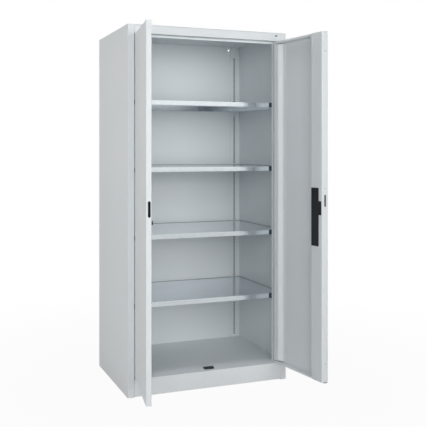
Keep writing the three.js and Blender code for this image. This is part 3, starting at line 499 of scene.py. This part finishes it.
def make_piece(name, lofts, body, slot, replaced=(), finish=None):
    """One object from lofts in metres: faces outwards, folds smooth, riding on a body of the frame."""
    points, faces, before = [], [], 0
    for some_points, quads, ends in lofts:
        points.append(some_points)
        faces += (quads + before).tolist() + [(end + before).tolist() for end in ends]
        before += len(some_points)
    mesh = bpy.data.meshes.new(name)
    mesh.from_pydata(np.vstack(points).tolist(), [], faces)
    shell = bmesh.new()
    shell.from_mesh(mesh)
    bmesh.ops.recalc_face_normals(shell, faces=shell.faces)
    shell.to_mesh(mesh)
    shell.free()
    mesh.shade_smooth()
    mesh.set_sharp_from_angle(angle=smooth_below)
    mesh.materials.append(finish or finishes[slot])
    piece = bpy.data.objects.new(name, mesh)
    bpy.context.scene.collection.objects.link(piece)
    shading = piece.modifiers.new("flats_stay_flat", "WEIGHTED_NORMAL")
    shading.keep_sharp = True
    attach(piece, body)
    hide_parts(*replaced)
    return piece


# %% Where the cabinet and its doors are
low, high = (np.array(corner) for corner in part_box("lid"))
cabinet_middle = (low + high) / 2 * (1, 1, 0)
hinge_place = {j["name"]: np.array(j["pos_m"]) for j in frame["joints"] if "pos_m" in j}
sides = {"left": -1, "right": 1}
door_open = {"left": math.radians(100), "right": math.radians(98.4)}
doors = {}
for name, side in sides.items():
    cos, sin = math.cos(door_open[name]), math.sin(door_open[name])
    doors[f"{name}_door"] = (hinge_place[f"{name}_door_hinge"], np.array([-side * cos, -sin, 0]),
                             np.array([-side * sin, cos, 0]))


def in_cabinet(rings):
    """Millimetres from the middle of the cabinet's plan, turned into metres in the frame."""
    return np.asarray(rings, float) * mm + cabinet_middle


def on_door(door, rings):
    """Millimetres along the leaf, inwards and up, turned into metres in the frame: hinge + along * the
    leaf's direction + inwards * the direction into the leaf + up."""
    hinge, along_leaf, into_leaf = doors[door]
    ways = np.stack([along_leaf, into_leaf, np.array([0, 0, 1])])
    return hinge + np.asarray(rings, float) * mm @ ways


# raised() puts a height last. These orders make it the inward or the along coordinate instead.
face_order, along_order = (0, 2, 1), (2, 0, 1)
print("middle of the cabinet", cabinet_middle.round(4))
print("hinges", {name: place.round(4) for name, place in hinge_place.items()})

# %% [markdown]
# ## Shelves
#
# Each shelf is a pan of galvanised sheet. Its lip is folded down and then back in underneath, and the
# front stands forward between the two uprights. In the photo the fold catches a bright line, which needs
# a true bend of about two sheet thicknesses, so one profile is carried round the notched outline.

# %% Fold the shelves
shelf_half_width = 462.0
tongue_half_width = 389.0
shelf_front, shelf_shoulder, shelf_rear = -256.4, -248.0, 288.0
shelf_lip = 26.5
shelf_sheet = 1.0
shelf_bend = 2.2
shelf_flat = 4.0
end_return, side_return, return_step, return_corner = 30.0, 22.0, 1.0, 0.4
right_half = [(tongue_half_width, shelf_front), (tongue_half_width, shelf_shoulder),
              (shelf_half_width, shelf_shoulder), (shelf_half_width, shelf_rear)]
shelf_corners = right_half + [(-x, y) for x, y in reversed(right_half)]
return_x = shelf_half_width - side_return
return_front, return_rear = shelf_front + end_return, shelf_rear - end_return
return_half = [(tongue_half_width - return_step, return_front),
               (tongue_half_width + return_step, return_front),
               (return_x, return_front), (return_x, return_rear)]
return_corners = return_half + [(-x, y) for x, y in reversed(return_half)]


def shelf_rings(top):
    """The outer profile round the outline, the edge of the return, and the inner profile back up."""
    outer = soft_profile([(shelf_flat, 0), (0, 0), (0, -shelf_lip), (shelf_flat, -shelf_lip)], shelf_bend)
    inner = soft_profile([(shelf_flat, shelf_sheet - shelf_lip), (shelf_sheet, shelf_sheet - shelf_lip),
                          (shelf_sheet, -shelf_sheet), (shelf_flat, -shelf_sheet)], shelf_bend - shelf_sheet)
    edge = outline_ring(return_corners, radius=return_corner)
    return ([raised(outline_ring(shelf_corners, inset), top + height) for inset, height in outer]
            + [raised(edge, top - shelf_lip), raised(edge, top - shelf_lip + shelf_sheet)]
            + [raised(outline_ring(shelf_corners, inset), top + height) for inset, height in inner])


shelf_tops = {number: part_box(f"shelf_{number}")[1].z / mm for number in range(1, 5)}
for number, top in shelf_tops.items():
    make_piece(f"folded_shelf_{number}", [loft(in_cabinet(shelf_rings(top)))], "carcass", "zinc_steel",
               [f"shelf_{number}"])
print("shelf tops in mm", {n: round(top, 1) for n, top in shelf_tops.items()})

# %% [markdown]
# ## Shelf end caps of painted shade
#
# Both ends of every front lip look dark slate in the photo, beside the bright zinc: shade and a dark
# reflection in the set-back corner. Each end gets a dark slate cap that paints this shade: a thin wall in
# front of the lip and a block that fills the shoulder beside it.

# %% Cap the ends of the front lips with painted shade
cap_wall = 0.6
cap_clearance = 0.2
cap_cover = 8.0
cap_width = 9.5
cap_corner = 0.25


def shade_cap_rings(side, top):
    """An L-shaped plan, for the right end or mirrored for the left, between two heights."""
    near = tongue_half_width - cap_cover
    beside = tongue_half_width + cap_clearance
    far = tongue_half_width + cap_width
    behind = shelf_front - cap_clearance
    front = behind - cap_wall
    back = shelf_shoulder - 3 * cap_clearance
    plan = np.array([(near, front), (far, front), (far, back), (beside, back), (beside, behind),
                     (near, behind)])
    ring = outline_ring(plan, radius=cap_corner, steps=3) * (side, 1)
    return [raised(ring, top - shelf_lip), raised(ring, top)]


for number, top in shelf_tops.items():
    for name, side in sides.items():
        make_piece(f"shelf_{number}_{name}_end_shade_cap", [loft(in_cabinet(shade_cap_rings(side, top)))], "carcass",
                   "black_plastic", finish=painted_shade_plastic)
print("end caps:", len(sides) * len(shelf_tops))

# %% [markdown]
# ## The dark bead of painted shade along the shelves
#
# In the photo a thin dark line runs along the sides and the rear edge of each shelf top: the shade in the
# gap between the shelf and the walls. It is painted as a dark rubber bead: half an ellipse, carried along
# three edges with soft corners. What it is can't be seen. It is made as a rubber bead that keeps the
# sheet from rattling: half an ellipse, carried along three edges with soft corners. A curve object with a
# bevel would do the same in more steps.

# %% Lay the beads of painted shade
bead_inset, bead_half_width, bead_height = 3.2, 0.8, 1.1
bead_lift, bead_corner, bead_points = 0.02, 4.0, 9
bead_x, bead_rear = shelf_half_width - bead_inset, shelf_rear - bead_inset
bead_front = shelf_shoulder + 8.0


def shade_bead_rings(top):
    """path + half width * cos a * sideways, at the height top + bead height * sin a, for a from 0 to pi."""
    path = soft_profile([(-bead_x, bead_front), (-bead_x, bead_rear), (bead_x, bead_rear),
                         (bead_x, bead_front)], bead_corner)
    along = unit(np.gradient(path, axis=0))
    sideways = np.stack([along[:, 1], -along[:, 0]], axis=1)
    turn = np.linspace(0, math.pi, bead_points)
    plan = path[:, None] + bead_half_width * np.cos(turn)[None, :, None] * sideways[:, None]
    height = np.broadcast_to(top + bead_lift + bead_height * np.sin(turn), plan.shape[:2])
    return np.concatenate([plan, height[..., None]], axis=-1)


for number, top in shelf_tops.items():
    make_piece(f"shelf_{number}_edge_shade_bead", [loft(in_cabinet(shade_bead_rings(top)))], "carcass", "black_rubber")
print("beads:", len(shelf_tops))

# %% [markdown]
# ## The stiffener on the hinge side of the right door
#
# Beside the hinge lip the photo shows a pale band that fades down to the panel. It is read as a pressed
# strip, which carries on level with the lip and then runs down to the skin in a long S. A straight fold
# would end in a hard line, so the slope is a half cosine.

# %% Press the stiffener
leaf_bottom, leaf_top = 98.0, 1900.5
leaf_outer, leaf_lip = -8.0, 18.0
leaf_closing_edge = 414.5
leaf_sheet = 1.2
strip_gap = 0.2
strip_face = leaf_lip - leaf_sheet - strip_gap
strip_foot = leaf_outer + 2 * leaf_sheet + strip_gap
strip_flat_end, strip_slope_end, strip_end = 22.0, 54.0, 66.0
strip_start = -4.0
strip_end_gap = 15.5
slope_steps = 24


def sheet_section(path, thickness):
    """A folded strip seen from its end: the path, and the same path moved sideways by the thickness."""
    path = np.asarray(path, float)
    along = unit(np.gradient(path, axis=0))
    sideways = np.stack([along[:, 1], -along[:, 0]], axis=1)
    return np.vstack([path, (path + thickness * sideways)[::-1]])


share = np.linspace(0, 1, slope_steps)
slope = np.column_stack([strip_flat_end + share * (strip_slope_end - strip_flat_end),
                         strip_face + (1 - np.cos(math.pi * share)) / 2 * (strip_foot - strip_face)])
strip_path = np.vstack([[(strip_start, strip_face)], slope, [(strip_end, strip_foot)]])
strip_section = sheet_section(strip_path, leaf_sheet)
strip_rings = [raised(strip_section, z) for z in (leaf_bottom + strip_end_gap, leaf_top - strip_end_gap)]
make_piece("hinge_side_stiffener", [loft(on_door("right_door", strip_rings))], "right_door",
           "light_grey_paint")
print("stiffener stands", round(strip_face - strip_foot, 1), "mm above the panel")

# %% [markdown]
# ## The ends of the box section
#
# The closing edge of the right door is a deep box section, and at its top and bottom the photo shows
# closed corners. Two thin lids shut the open ends, each with a notch where its lock rod passes. The
# bottom lid is a thin plate, because the floor stop passes close under it when the door is shut.

# %% Close the box section
box_near, box_far = 329.5, 414.4
box_back, box_face = 1.5, 32.0
box_bottom, box_top = 104.5, 1896.0
lid_gap, lid_land, lid_corner = 0.1, 2.0, 2.0
rod_notch_depth = 6.5
rod_notches = {"top": (336.5, 349.5), "bottom": (365.5, 378.5)}
bottom_lid_thickness = 0.7
lid_heights = {"top": (box_top + lid_gap, leaf_top - leaf_sheet - lid_gap),
               "bottom": (box_bottom - lid_gap - bottom_lid_thickness, box_bottom - lid_gap)}
lid_rounds = {"top": 0.8, "bottom": 0.3}
for end, (start, stop) in rod_notches.items():
    plan = [(box_near, box_back), (start, box_back), (start, rod_notch_depth), (stop, rod_notch_depth),
            (stop, box_back), (box_far, box_back), (box_far, box_face), (box_near, box_face)]
    low_z, high_z = lid_heights[end]
    edge = soft_profile([(lid_land, low_z), (0, low_z), (0, high_z), (lid_land, high_z)], lid_rounds[end],
                        steps=4)
    rings = [raised(outline_ring(plan, inset, lid_corner), height) for inset, height in edge]
    make_piece(f"box_section_{end}_lid", [loft(on_door("right_door", rings))], "right_door",
               "light_grey_paint")
print("lids between", lid_heights)

# %% [markdown]
# ## The lock cover
#
# The lock sits behind a flat black moulding with a tab towards the door's edge. It is the darkest thing
# in the photo, so its rim has to catch a little light: the cover has a rounded edge, a raised rim and a
# slightly sunk field. Behind it are the tray that fills the cut-out and the boss that holds the spindle.

# %% Mould the lock cover
cover_left, cover_right, tab_right = 333.5, 389.5, 410.5
cover_bottom, cover_top = 797.0, 1098.0
tab_bottom, tab_top = 959.0, 1030.0
cover_back, cover_face = 32.3, 34.3
cover_corners = [(cover_left, cover_bottom), (cover_right, cover_bottom), (cover_right, tab_bottom),
                 (tab_right, tab_bottom), (tab_right, tab_top), (cover_right, tab_top),
                 (cover_right, cover_top), (cover_left, cover_top)]
cover_corner, cover_round = 2.6, 0.4
rim_width, rim_slope, field_depth, field_land = 3.2, 0.8, 0.5, 2.0
tray_edge, tray_wall, tray_depth, tray_corner = 4.3, 2.0, 16.0, 3.0
spindle_along, handle_height = 357.5, 994.0
boss_outer, boss_bore, boss_start, boss_depth = 9.0, 5.4, 1.0, 18.0


def cover_rings():
    """From the sunk field over the rim and round the outer edge to the flat back."""
    field = cover_face - field_depth
    profile = soft_profile([(rim_width + field_land, field), (rim_width, field),
                            (rim_width - rim_slope, cover_face), (0, cover_face), (0, cover_back)],
                           cover_round, steps=4)
    return [raised(outline_ring(cover_corners, inset, cover_corner), height, face_order)
            for inset, height in profile]


def tray_rings():
    """A box open at the back: down its outer walls, round the rim and up its inner walls."""
    plan = rectangle(cover_left + tray_edge, cover_right - tray_edge, cover_bottom + tray_edge,
                     cover_top - tray_edge)
    deep = cover_back - tray_depth
    steps = [(0, cover_back), (0, deep), (tray_wall, deep), (tray_wall, cover_back - tray_wall)]
    return [raised(outline_ring(plan, inset, tray_corner), height, face_order) for inset, height in steps]


def turned_about_spindle(profile, count=32):
    """Rings of a turned shape from (radius, inwards) pairs, about the handle's spindle."""
    middle = np.array([spindle_along, handle_height])
    return [raised(round_ring(radius, count) + middle, inwards, face_order) for radius, inwards in profile]


boss_profile = [(boss_bore, cover_back - boss_start), (boss_outer, cover_back - boss_start),
                (boss_outer, cover_back - boss_depth), (boss_bore, cover_back - boss_depth)]
lock_lofts = [loft(on_door("right_door", cover_rings())), loft(on_door("right_door", tray_rings())),
              loft(on_door("right_door", turned_about_spindle(boss_profile)), closed=True)]
make_piece("lock_cover", lock_lofts, "right_door", "black_plastic", ["lock_case"])
print("lock cover", tab_right - cover_left, "by", cover_top - cover_bottom, "mm")

# %% [markdown]
# ## The dark pocket behind the left door's slot, which paints the shade in it
#
# When the doors are shut, the side bolt goes through the long hole in the left door's edge. The photo
# shows that hole black with shade. A black pocket behind it paints that shade.

# %% Mould the slot pocket of painted shade
pocket_near, pocket_far = 376.0, 410.4
pocket_back, pocket_front = -5.6, 15.2
pocket_bottom, pocket_top = 962.0, 1069.0
pocket_wall, pocket_corner = 1.2, 2.0
pocket_plan = rectangle(pocket_back, pocket_front, pocket_bottom, pocket_top)
pocket_steps = [(0, pocket_near), (0, pocket_far), (pocket_wall, pocket_far),
                (pocket_wall, pocket_near + pocket_wall)]
shade_pocket_rings = [raised(outline_ring(pocket_plan, inset, pocket_corner), along, along_order)
                for inset, along in pocket_steps]
make_piece("left_slot_shade_pocket", [loft(on_door("left_door", shade_pocket_rings))], "left_door", "black_plastic")
print("pocket is", pocket_far - pocket_near, "mm deep")

# %% [markdown]
# ## Dark guides and strips that paint the shade in holes
#
# More holes are black in the photo: the bolt's hole in the right edge, and the slots of the rear uprights.
# That black is shade, and it is painted: a black guide lines the bolt's hole, and a dark strip lies against
# the back panel behind each column of slots. The rod's hole in the floor shows a pale ring instead, its nylon
# socket, which is turned below.

# %% Paint the shade in the side bolt's hole and behind the rear uprights' slots
shade_guide_outer, shade_guide_outer_corner = rectangle(6.15, 15.85, 1001.15, 1063.85), 4.6
shade_guide_inner, shade_guide_inner_corner = rectangle(6.6, 12.4, 1006.4, 1049.4), 0.4
shade_guide_face, shade_guide_end = 414.3, 394.0
shade_guide_steps = [(shade_guide_outer, shade_guide_outer_corner, shade_guide_face), (shade_guide_outer, shade_guide_outer_corner, shade_guide_end),
               (shade_guide_inner, shade_guide_inner_corner, shade_guide_end), (shade_guide_inner, shade_guide_inner_corner, shade_guide_face)]
shade_guide_rings = [raised(outline_ring(plan, 0, corner), along, along_order)
               for plan, corner, along in shade_guide_steps]
make_piece("side_bolt_shade_guide", [loft(on_door("right_door", shade_guide_rings), closed=True)], "right_door",
           "black_plastic")

shade_strip_inner, shade_strip_outer, shade_strip_corner = 401.5, 432.5, 0.3
shade_strip_front, shade_strip_back = 294.6, 295.6
shade_strip_bottom, shade_strip_top = 98.0, 1915.0
for name, side in sides.items():
    plan = rectangle(shade_strip_inner, shade_strip_outer, shade_strip_front, shade_strip_back)
    ring = outline_ring(plan, 0, shade_strip_corner) * (side, 1)
    shade_strip = [raised(ring, height) for height in (shade_strip_bottom, shade_strip_top)]
    make_piece(f"rear_{name}_slot_shade_strip", [loft(in_cabinet(shade_strip))], "carcass", "black_rubber")
print("bolt guide and two slot liners made")

# %% [markdown]
# ## Small blocks: the buffer, the floor stop and the badge
#
# These three are rounded blocks. Each is an outline with soft corners, carried over a profile that
# rounds its upper edge, so that it catches the light as a moulding does.

# %% Round the small blocks
def cushion_rings(corners, base, top, round_over, radius, order=(0, 1, 2)):
    """An outline from its base straight up, then over a rounded edge to a flat top."""
    profile = soft_profile([(0, base), (0, top), (2 * round_over, top)], round_over)
    return [raised(outline_ring(corners, inset, radius), height, order) for inset, height in profile]


buffer_plan = rectangle(404.1, 412.1, 942.0, 962.0)
buffer_base, buffer_top, buffer_round, buffer_corner = 18.3, 24.3, 1.6, 2.4
buffer_rings = cushion_rings(buffer_plan, buffer_base, buffer_top, buffer_round, buffer_corner, face_order)
make_piece("edge_buffer", [loft(on_door("left_door", buffer_rings))], "left_door", "black_rubber",
           ["left_door_buffer"])

stop_plan = rectangle(-19.5, 35.5, -273.4, -246.4)
stop_base, stop_top, stop_round, stop_corner = 95.3, 102.5, 2.2, 4.0
rib_start, rib_width, rib_spacing, rib_count = -14.0, 6.0, 11.0, 5
rib_front, rib_rear, rib_base, rib_top, rib_round, rib_corner = -270.0, -250.0, 102.0, 103.3, 0.6, 2.0
stop_body = cushion_rings(stop_plan, stop_base, stop_top, stop_round, stop_corner)
rib_plans = [rectangle(left, left + rib_width, rib_front, rib_rear)
             for left in rib_start + rib_spacing * np.arange(rib_count)]
stop_ribs = [cushion_rings(plan, rib_base, rib_top, rib_round, rib_corner) for plan in rib_plans]
make_piece("moulded_floor_stop", [loft(in_cabinet(rings)) for rings in [stop_body] + stop_ribs], "carcass",
           "black_plastic", ["floor_stop"])

badge_plan = rectangle(396.0, 410.0, 1930.0, 1936.0)
badge_base, badge_face, badge_round, badge_corner = -300.3, -301.2, 0.35, 1.2
badge_plate = cushion_rings(badge_plan, badge_base, badge_face, badge_round, badge_corner, face_order)
make_piece("blank_plate", [loft(in_cabinet(badge_plate))], "carcass", "plain_aluminium", ["blank_badge"])
print("floor stop with", rib_count, "ribs, buffer and blank plate made")

# %% [markdown]
# ## Dark pads of painted shade on the left door stop
#
# Through the narrow seam beside the left door the photo shows four short black marks, one at the height
# of each shelf: the dark, shaded ends of the shelves. They are painted as rubber pads on the door stop there.
# What they are can't be seen. They are made as rubber pads on the door stop there.

# %% Stick on the pads of painted shade
stop_face = -259.0
pad_gap, pad_thickness, pad_edge, pad_radius = 0.05, 3.0, 0.3, 2.0
pad_outer, pad_inner = -426.0, -407.0
shade_pad_lofts = []
for top in shelf_tops.values():
    pad = cushion_rings(rectangle(pad_outer, pad_inner, top - shelf_lip, top), stop_face - pad_gap,
                        stop_face - pad_thickness, pad_edge, pad_radius, face_order)
    shade_pad_lofts.append(loft(in_cabinet(pad)))
make_piece("left_stop_shade_pads", shade_pad_lofts, "carcass", "black_rubber")
print("pads:", len(shade_pad_lofts))

# %% [markdown]
# ## Turned pieces: hinge pins, bushes, sockets and rivets
#
# These are round, so each is a profile of radii and heights turned about its axis. Chamfers, washers and
# domes are all in the profile.

# %% Turn the pins and bushes
def turned(profile, axis_place, count=32):
    """Rings of radius * (cos a, sin a) at each height of the profile, in metres, about an upright axis."""
    return [raised(round_ring(radius, count), height) * mm + axis_place for radius, height in profile]


pin_radius, pin_chamfer, pin_fillet, washer_radius, washer_edge = 4.0, 0.8, 0.3, 10.0, 0.3
bush_bore, bush_outer, bush_flange, bush_edge = 4.4, 6.0, 8.5, 0.3
pin_ends = {"lower": (95.3, 96.3, 118.0), "upper": (1904.2, 1903.2, 1880.5)}
bush_ends = {"lower": (96.6, 97.7, 110.6), "upper": (1901.9, 1900.8, 1887.9)}
for side in sides:
    place = hinge_place[f"{side}_door_hinge"]
    for level, (seat, washer_face, tip) in pin_ends.items():
        way = math.copysign(1, tip - seat)
        profile = [(washer_radius - washer_edge, seat), (washer_radius, seat + way * washer_edge),
                   (washer_radius, washer_face - way * washer_edge),
                   (washer_radius - washer_edge, washer_face),
                   (pin_radius + pin_fillet, washer_face), (pin_radius, washer_face + way * pin_fillet),
                   (pin_radius, tip - way * pin_chamfer), (pin_radius - pin_chamfer, tip)]
        make_piece(f"turned_{side}_{level}_pin", [loft(turned(profile, place))], "carcass", "bright_steel",
                   [f"{side}_{level}_hinge_pin"])
    for level, (flange_end, flange_face, sleeve_end) in bush_ends.items():
        way = math.copysign(1, sleeve_end - flange_end)
        profile = [(bush_bore + bush_edge, flange_end), (bush_flange - bush_edge, flange_end),
                   (bush_flange, flange_end + way * bush_edge), (bush_flange, flange_face - way * bush_edge),
                   (bush_flange - bush_edge, flange_face), (bush_outer, flange_face),
                   (bush_outer, sleeve_end - way * bush_edge), (bush_outer - bush_edge, sleeve_end),
                   (bush_bore + bush_edge, sleeve_end), (bush_bore, sleeve_end - way * bush_edge),
                   (bush_bore, flange_end + way * bush_edge)]
        make_piece(f"turned_{side}_{level}_bush", [loft(turned(profile, place), closed=True)], f"{side}_door",
                   "pale_nylon", [f"{side}_{level}_bush"])
print("pins and bushes at the", sorted(pin_ends), "end of each door")

# %% Set the rod sockets in the floor and in the header
# The right door's hinge, and how far from it each rod comes out, with the door shut.
hinge_x, hinge_y = 416.0, -291.0
rod_hole_along = {"floor": 372.0, "header": 343.0}
socket_bore, socket_outer, socket_rim = 5.5, 8.0, 0.4
socket_heights = {"floor": (95.05, 95.95), "header": (1904.35, 1903.45)}
for name, along in rod_hole_along.items():
    middle = in_cabinet((hinge_x - along, hinge_y, 0.0))
    seat, face = socket_heights[name]
    bend = math.copysign(socket_rim, face - seat)
    profile = [(socket_bore, seat), (socket_outer, seat), (socket_outer, face - bend),
               (socket_outer - socket_rim, face), (socket_bore + socket_rim, face),
               (socket_bore, face - bend)]
    make_piece(f"{name}_rod_socket", [loft(turned(profile, middle), closed=True)], "carcass", "pale_nylon")
print("rod sockets at", rod_hole_along)

# %% Set the rivets in the closing edge
rivet_heights = (199.0, 1095.0, 1800.0)
rivet_inwards = 11.0
rivet_radius, rivet_rise, rivet_points = 2.1, 0.6, 16
rivet_seat, rivet_foot = leaf_closing_edge + 0.02, leaf_closing_edge + 0.1
turn = np.linspace(0, math.radians(80), 5)
dome = np.column_stack([rivet_radius * np.cos(turn), rivet_foot + rivet_rise * np.sin(turn)])
dome = np.vstack([(rivet_radius, rivet_seat), dome])
rivet_lofts = []
for height in rivet_heights:
    rings = [raised(round_ring(radius, rivet_points) + (rivet_inwards, height), along, along_order)
             for radius, along in dome]
    rivet_lofts.append(loft(on_door("right_door", rings)))
make_piece("closing_edge_rivets", rivet_lofts, "right_door", "black_plastic")
print("rivets at", rivet_heights)

# %% [markdown]
# ## The handle
#
# The handle is on the door's outer side, away from the camera, so its shape is a typical one: a rosette,
# a disc on it, and a long grip with a key cylinder in its middle. The grip is a loft along its length:
# every section is a superellipse, and the size falls to the ends in a long curve.

# %% Turn the rosette and shape the grip
rosette_profile = [(11.4, -8.3), (28.0, -8.3), (28.0, -10.6), (26.2, -12.0), (24.5, -12.3), (11.4, -12.3)]
fine_count = 48
rosette_rings = on_door("right_door", turned_about_spindle(rosette_profile, fine_count))
make_piece("turned_rosette", [loft(rosette_rings, closed=True)], "right_door", "black_plastic",
           ["handle_rosette"])

grip_length, grip_half_width, grip_half_depth, grip_face = 92.0, 11.0, 12.5, -17.1
grip_sections, grip_points, grip_roundness = 40, 40, 2.6
grip_waist, grip_end_power, grip_reach = 0.16, 7.0, 0.9995


def grip_rings():
    """Sections along the grip, at share s from -1 to 1. The section is a superellipse,
    (sign(c)|c|^(2/n), sign(d)|d|^(2/n)) with c, d the cosine and sine of the turn, and its size is
    (1 - |s|^p)^(1/p), less a waist on both sides of the hub, waist * sin^2(pi s), or half that in depth."""
    wave = round_ring(1.0, grip_points)
    section = np.sign(wave) * np.abs(wave) ** (2 / grip_roundness)
    s = np.sin(np.linspace(-1, 1, grip_sections) * math.pi / 2) * grip_reach
    size = (1 - np.abs(s) ** grip_end_power) ** (1 / grip_end_power)
    width = size * grip_half_width * (1 - grip_waist * np.sin(math.pi * s) ** 2)
    depth = size * grip_half_depth * (1 - grip_waist / 2 * np.sin(math.pi * s) ** 2)
    along = spindle_along + width[:, None] * section[None, :, 0]
    inwards = grip_face - grip_half_depth + depth[:, None] * section[None, :, 1]
    up = handle_height + grip_length / 2 * s[:, None] + 0 * along
    return np.stack([along, inwards, up], axis=-1)


disc_profile = [(0.5, -12.7), (20.5, -12.7), (22.0, -13.6), (22.0, -15.9), (20.4, -17.3), (17.5, -17.7),
                (0.5, -17.7)]
neck_profile = [(11.0, -13.0), (11.0, -5.8), (10.2, -5.0), (5.0, -5.0), (5.0, 23.2), (4.2, 24.0)]
collar_profile = [(6.3, -41.0), (6.3, -42.6), (7.4, -42.9), (8.8, -42.4), (9.2, -41.0)]
handle_rings = (grip_rings(), turned_about_spindle(disc_profile, fine_count),
                turned_about_spindle(neck_profile))
handle_lofts = [loft(on_door("right_door", rings)) for rings in handle_rings]
handle_lofts.append(loft(on_door("right_door", turned_about_spindle(collar_profile)), closed=True))
make_piece("shaped_handle", handle_lofts, "handle", "black_plastic", ["turn_handle"])
print("grip", grip_length, "mm long,", 2 * grip_half_width, "mm wide at the hub")

# %% Cut the keyway
keyway_half_width, keyway_half_height = 0.8, 4.0
keyway_squareness, keyway_mouth = 0.35, 1.06


def key_core_rings():
    """A round barrel whose face runs in to a keyway: the keyway is a superellipse squeezed to a slot."""
    middle = np.array([spindle_along, handle_height])
    circle = round_ring(1.0, fine_count)
    keyway = np.sign(circle) * np.abs(circle) ** keyway_squareness * (keyway_half_width, keyway_half_height)
    barrel = [(6.0, -20.1), (6.0, -42.9), (5.6, -43.3)]
    face = [(keyway * keyway_mouth, -43.3), (keyway, -43.1), (keyway, -39.3)]
    rings = [raised(circle * radius + middle, inwards, face_order) for radius, inwards in barrel]
    return rings + [raised(ring + middle, inwards, face_order) for ring, inwards in face]


make_piece("key_barrel", [loft(on_door("right_door", key_core_rings()))], "key_core", "bright_steel",
           ["key_cylinder"])

# %% [markdown]
# ## Floor and background
#
# The photograph is a cut-out on white. The floor and the world are white where the camera looks at them.
# A mirror sees the world white and the floor pale, and the light that they throw on the object is modest.

# %% Floor
def looked_at(tree):
    """Two masks: where a mirror looks, and where the camera or a mirror looks."""
    seen = tree.nodes.new("ShaderNodeLightPath").outputs
    mirrored = math_node(tree, "MAXIMUM", seen["Is Glossy Ray"], seen["Is Transmission Ray"])
    return mirrored, math_node(tree, "MAXIMUM", seen["Is Camera Ray"], mirrored)


floor_size = 80.0
floor_drop = 0.0004
floor_near, floor_far = 0.9, 2.6
floor_shading = 0.05
floor_mirrored = 0.68
floor_grey = 0.45


def white_floor():
    """White to the eye, and pale in a mirror. A share of real shading near the object keeps its shadow, and
    it fades with distance from the middle, so that no horizon shows."""
    mesh = bpy.data.meshes.new("floor")
    half = floor_size / 2
    mesh.from_pydata([(-half, -half, -floor_drop), (half, -half, -floor_drop), (half, half, -floor_drop),
                      (-half, half, -floor_drop)], [], [(0, 1, 2, 3)])
    floor = bpy.data.objects.new("floor", mesh)
    bpy.context.scene.collection.objects.link(floor)
    material, tree, shader = new_material("white_floor")
    feed(tree, (floor_grey, floor_grey, floor_grey), shader["Base Color"])
    shader["Roughness"].default_value = 0.8
    mirrored, looks = looked_at(tree)
    shine = tree.nodes.new("ShaderNodeEmission")
    strength = math_node(tree, "MULTIPLY_ADD", mirrored, floor_mirrored - 1.0, 1.0)
    tree.links.new(strength, shine.inputs["Strength"])
    distance = tree.nodes.new("ShaderNodeVectorMath")
    distance.operation = "LENGTH"
    tree.links.new(object_place(tree), distance.inputs[0])
    fade = tree.nodes.new("ShaderNodeMapRange")
    tree.links.new(distance.outputs["Value"], fade.inputs["Value"])
    fade.inputs["From Min"].default_value, fade.inputs["From Max"].default_value = floor_near, floor_far
    fade.inputs["To Min"].default_value, fade.inputs["To Max"].default_value = 1.0 - floor_shading, 1.0
    mix = tree.nodes.new("ShaderNodeMixShader")
    tree.links.new(math_node(tree, "MULTIPLY", looks, fade.outputs["Result"]), mix.inputs[0])
    tree.links.new(tree.nodes["Principled BSDF"].outputs[0], mix.inputs[1])
    tree.links.new(shine.outputs[0], mix.inputs[2])
    tree.links.new(mix.outputs[0], tree.nodes["Material Output"].inputs[0])
    mesh.materials.append(material)


white_floor()
print("floor", floor_size, "m wide, white from", floor_far, "m outwards")

# %% World
world_light = 0.02


def set_world():
    """White where a camera or a mirror looks at it. It throws next to no light: that is left to the lamps."""
    world = bpy.data.worlds.new("studio")
    bpy.context.scene.world = world
    world.use_nodes = True
    tree = world.node_tree
    back = tree.nodes["Background"]
    back.inputs["Color"].default_value = (1.0, 1.0, 1.0, 1.0)
    looks = looked_at(tree)[1]
    strength = math_node(tree, "MULTIPLY_ADD", looks, 1.0 - world_light, world_light)
    tree.links.new(strength, back.inputs["Strength"])


set_world()
bpy.context.scene.view_settings.view_transform = "Standard"
print("the world throws", world_light, "of its brightness as light")

# %% [markdown]
# ## Lamps
#
# The photograph has no hard shadow: its light comes from all over the front, and from the left side. So
# far lamps give the even front light, near ones reach into the compartments, and one on the left lights
# the side wall. Lamps above, on the right and behind light what the photograph doesn't show.

# %% Hang the lamps
aim_at = np.array([0.0, 0.1, 1.1])


def soft_box(name, azimuth, elevation, distance, size, power, tint=(1.0, 1.0, 1.0)):
    """A square lamp at a distance from the point that it is aimed at. Azimuth is in degrees to the right of
    the front, and elevation in degrees above level."""
    turn, rise = math.radians(azimuth), math.radians(elevation)
    away = np.array([math.sin(turn) * math.cos(rise), -math.cos(turn) * math.cos(rise), math.sin(rise)])
    data = bpy.data.lights.new(name, "AREA")
    data.size = size
    data.energy = power
    data.color = tint
    lamp = bpy.data.objects.new(name, data)
    lamp.location = aim_at + distance * away
    lamp.rotation_euler = (math.radians(90 - elevation), 0, turn)
    lamp.visible_glossy = False
    bpy.context.scene.collection.objects.link(lamp)


soft_box("far_left_lamp", -12, 2.5, 9.0, 3.0, 92)
soft_box("far_right_lamp", 14, 2.5, 9.0, 3.0, 92)
soft_box("near_left_lamp", -25, 13, 5.0, 2.2, 50)
soft_box("near_right_lamp", 9, 13, 3.2, 1.6, 24)
soft_box("left_front_lamp", -58, 2, 4.5, 1.8, 21)
soft_box("side_lamp", -92, 3, 4.5, 1.8, 49, tint=(1.0, 0.985, 0.965))
soft_box("top_lamp", 0, 86, 4.0, 1.8, 68)
soft_box("right_lamp", 108, 8, 4.5, 1.8, 44)
soft_box("rear_lamp", 172, 8, 5.0, 2.0, 50)
print("lamps:", len(bpy.data.lights))
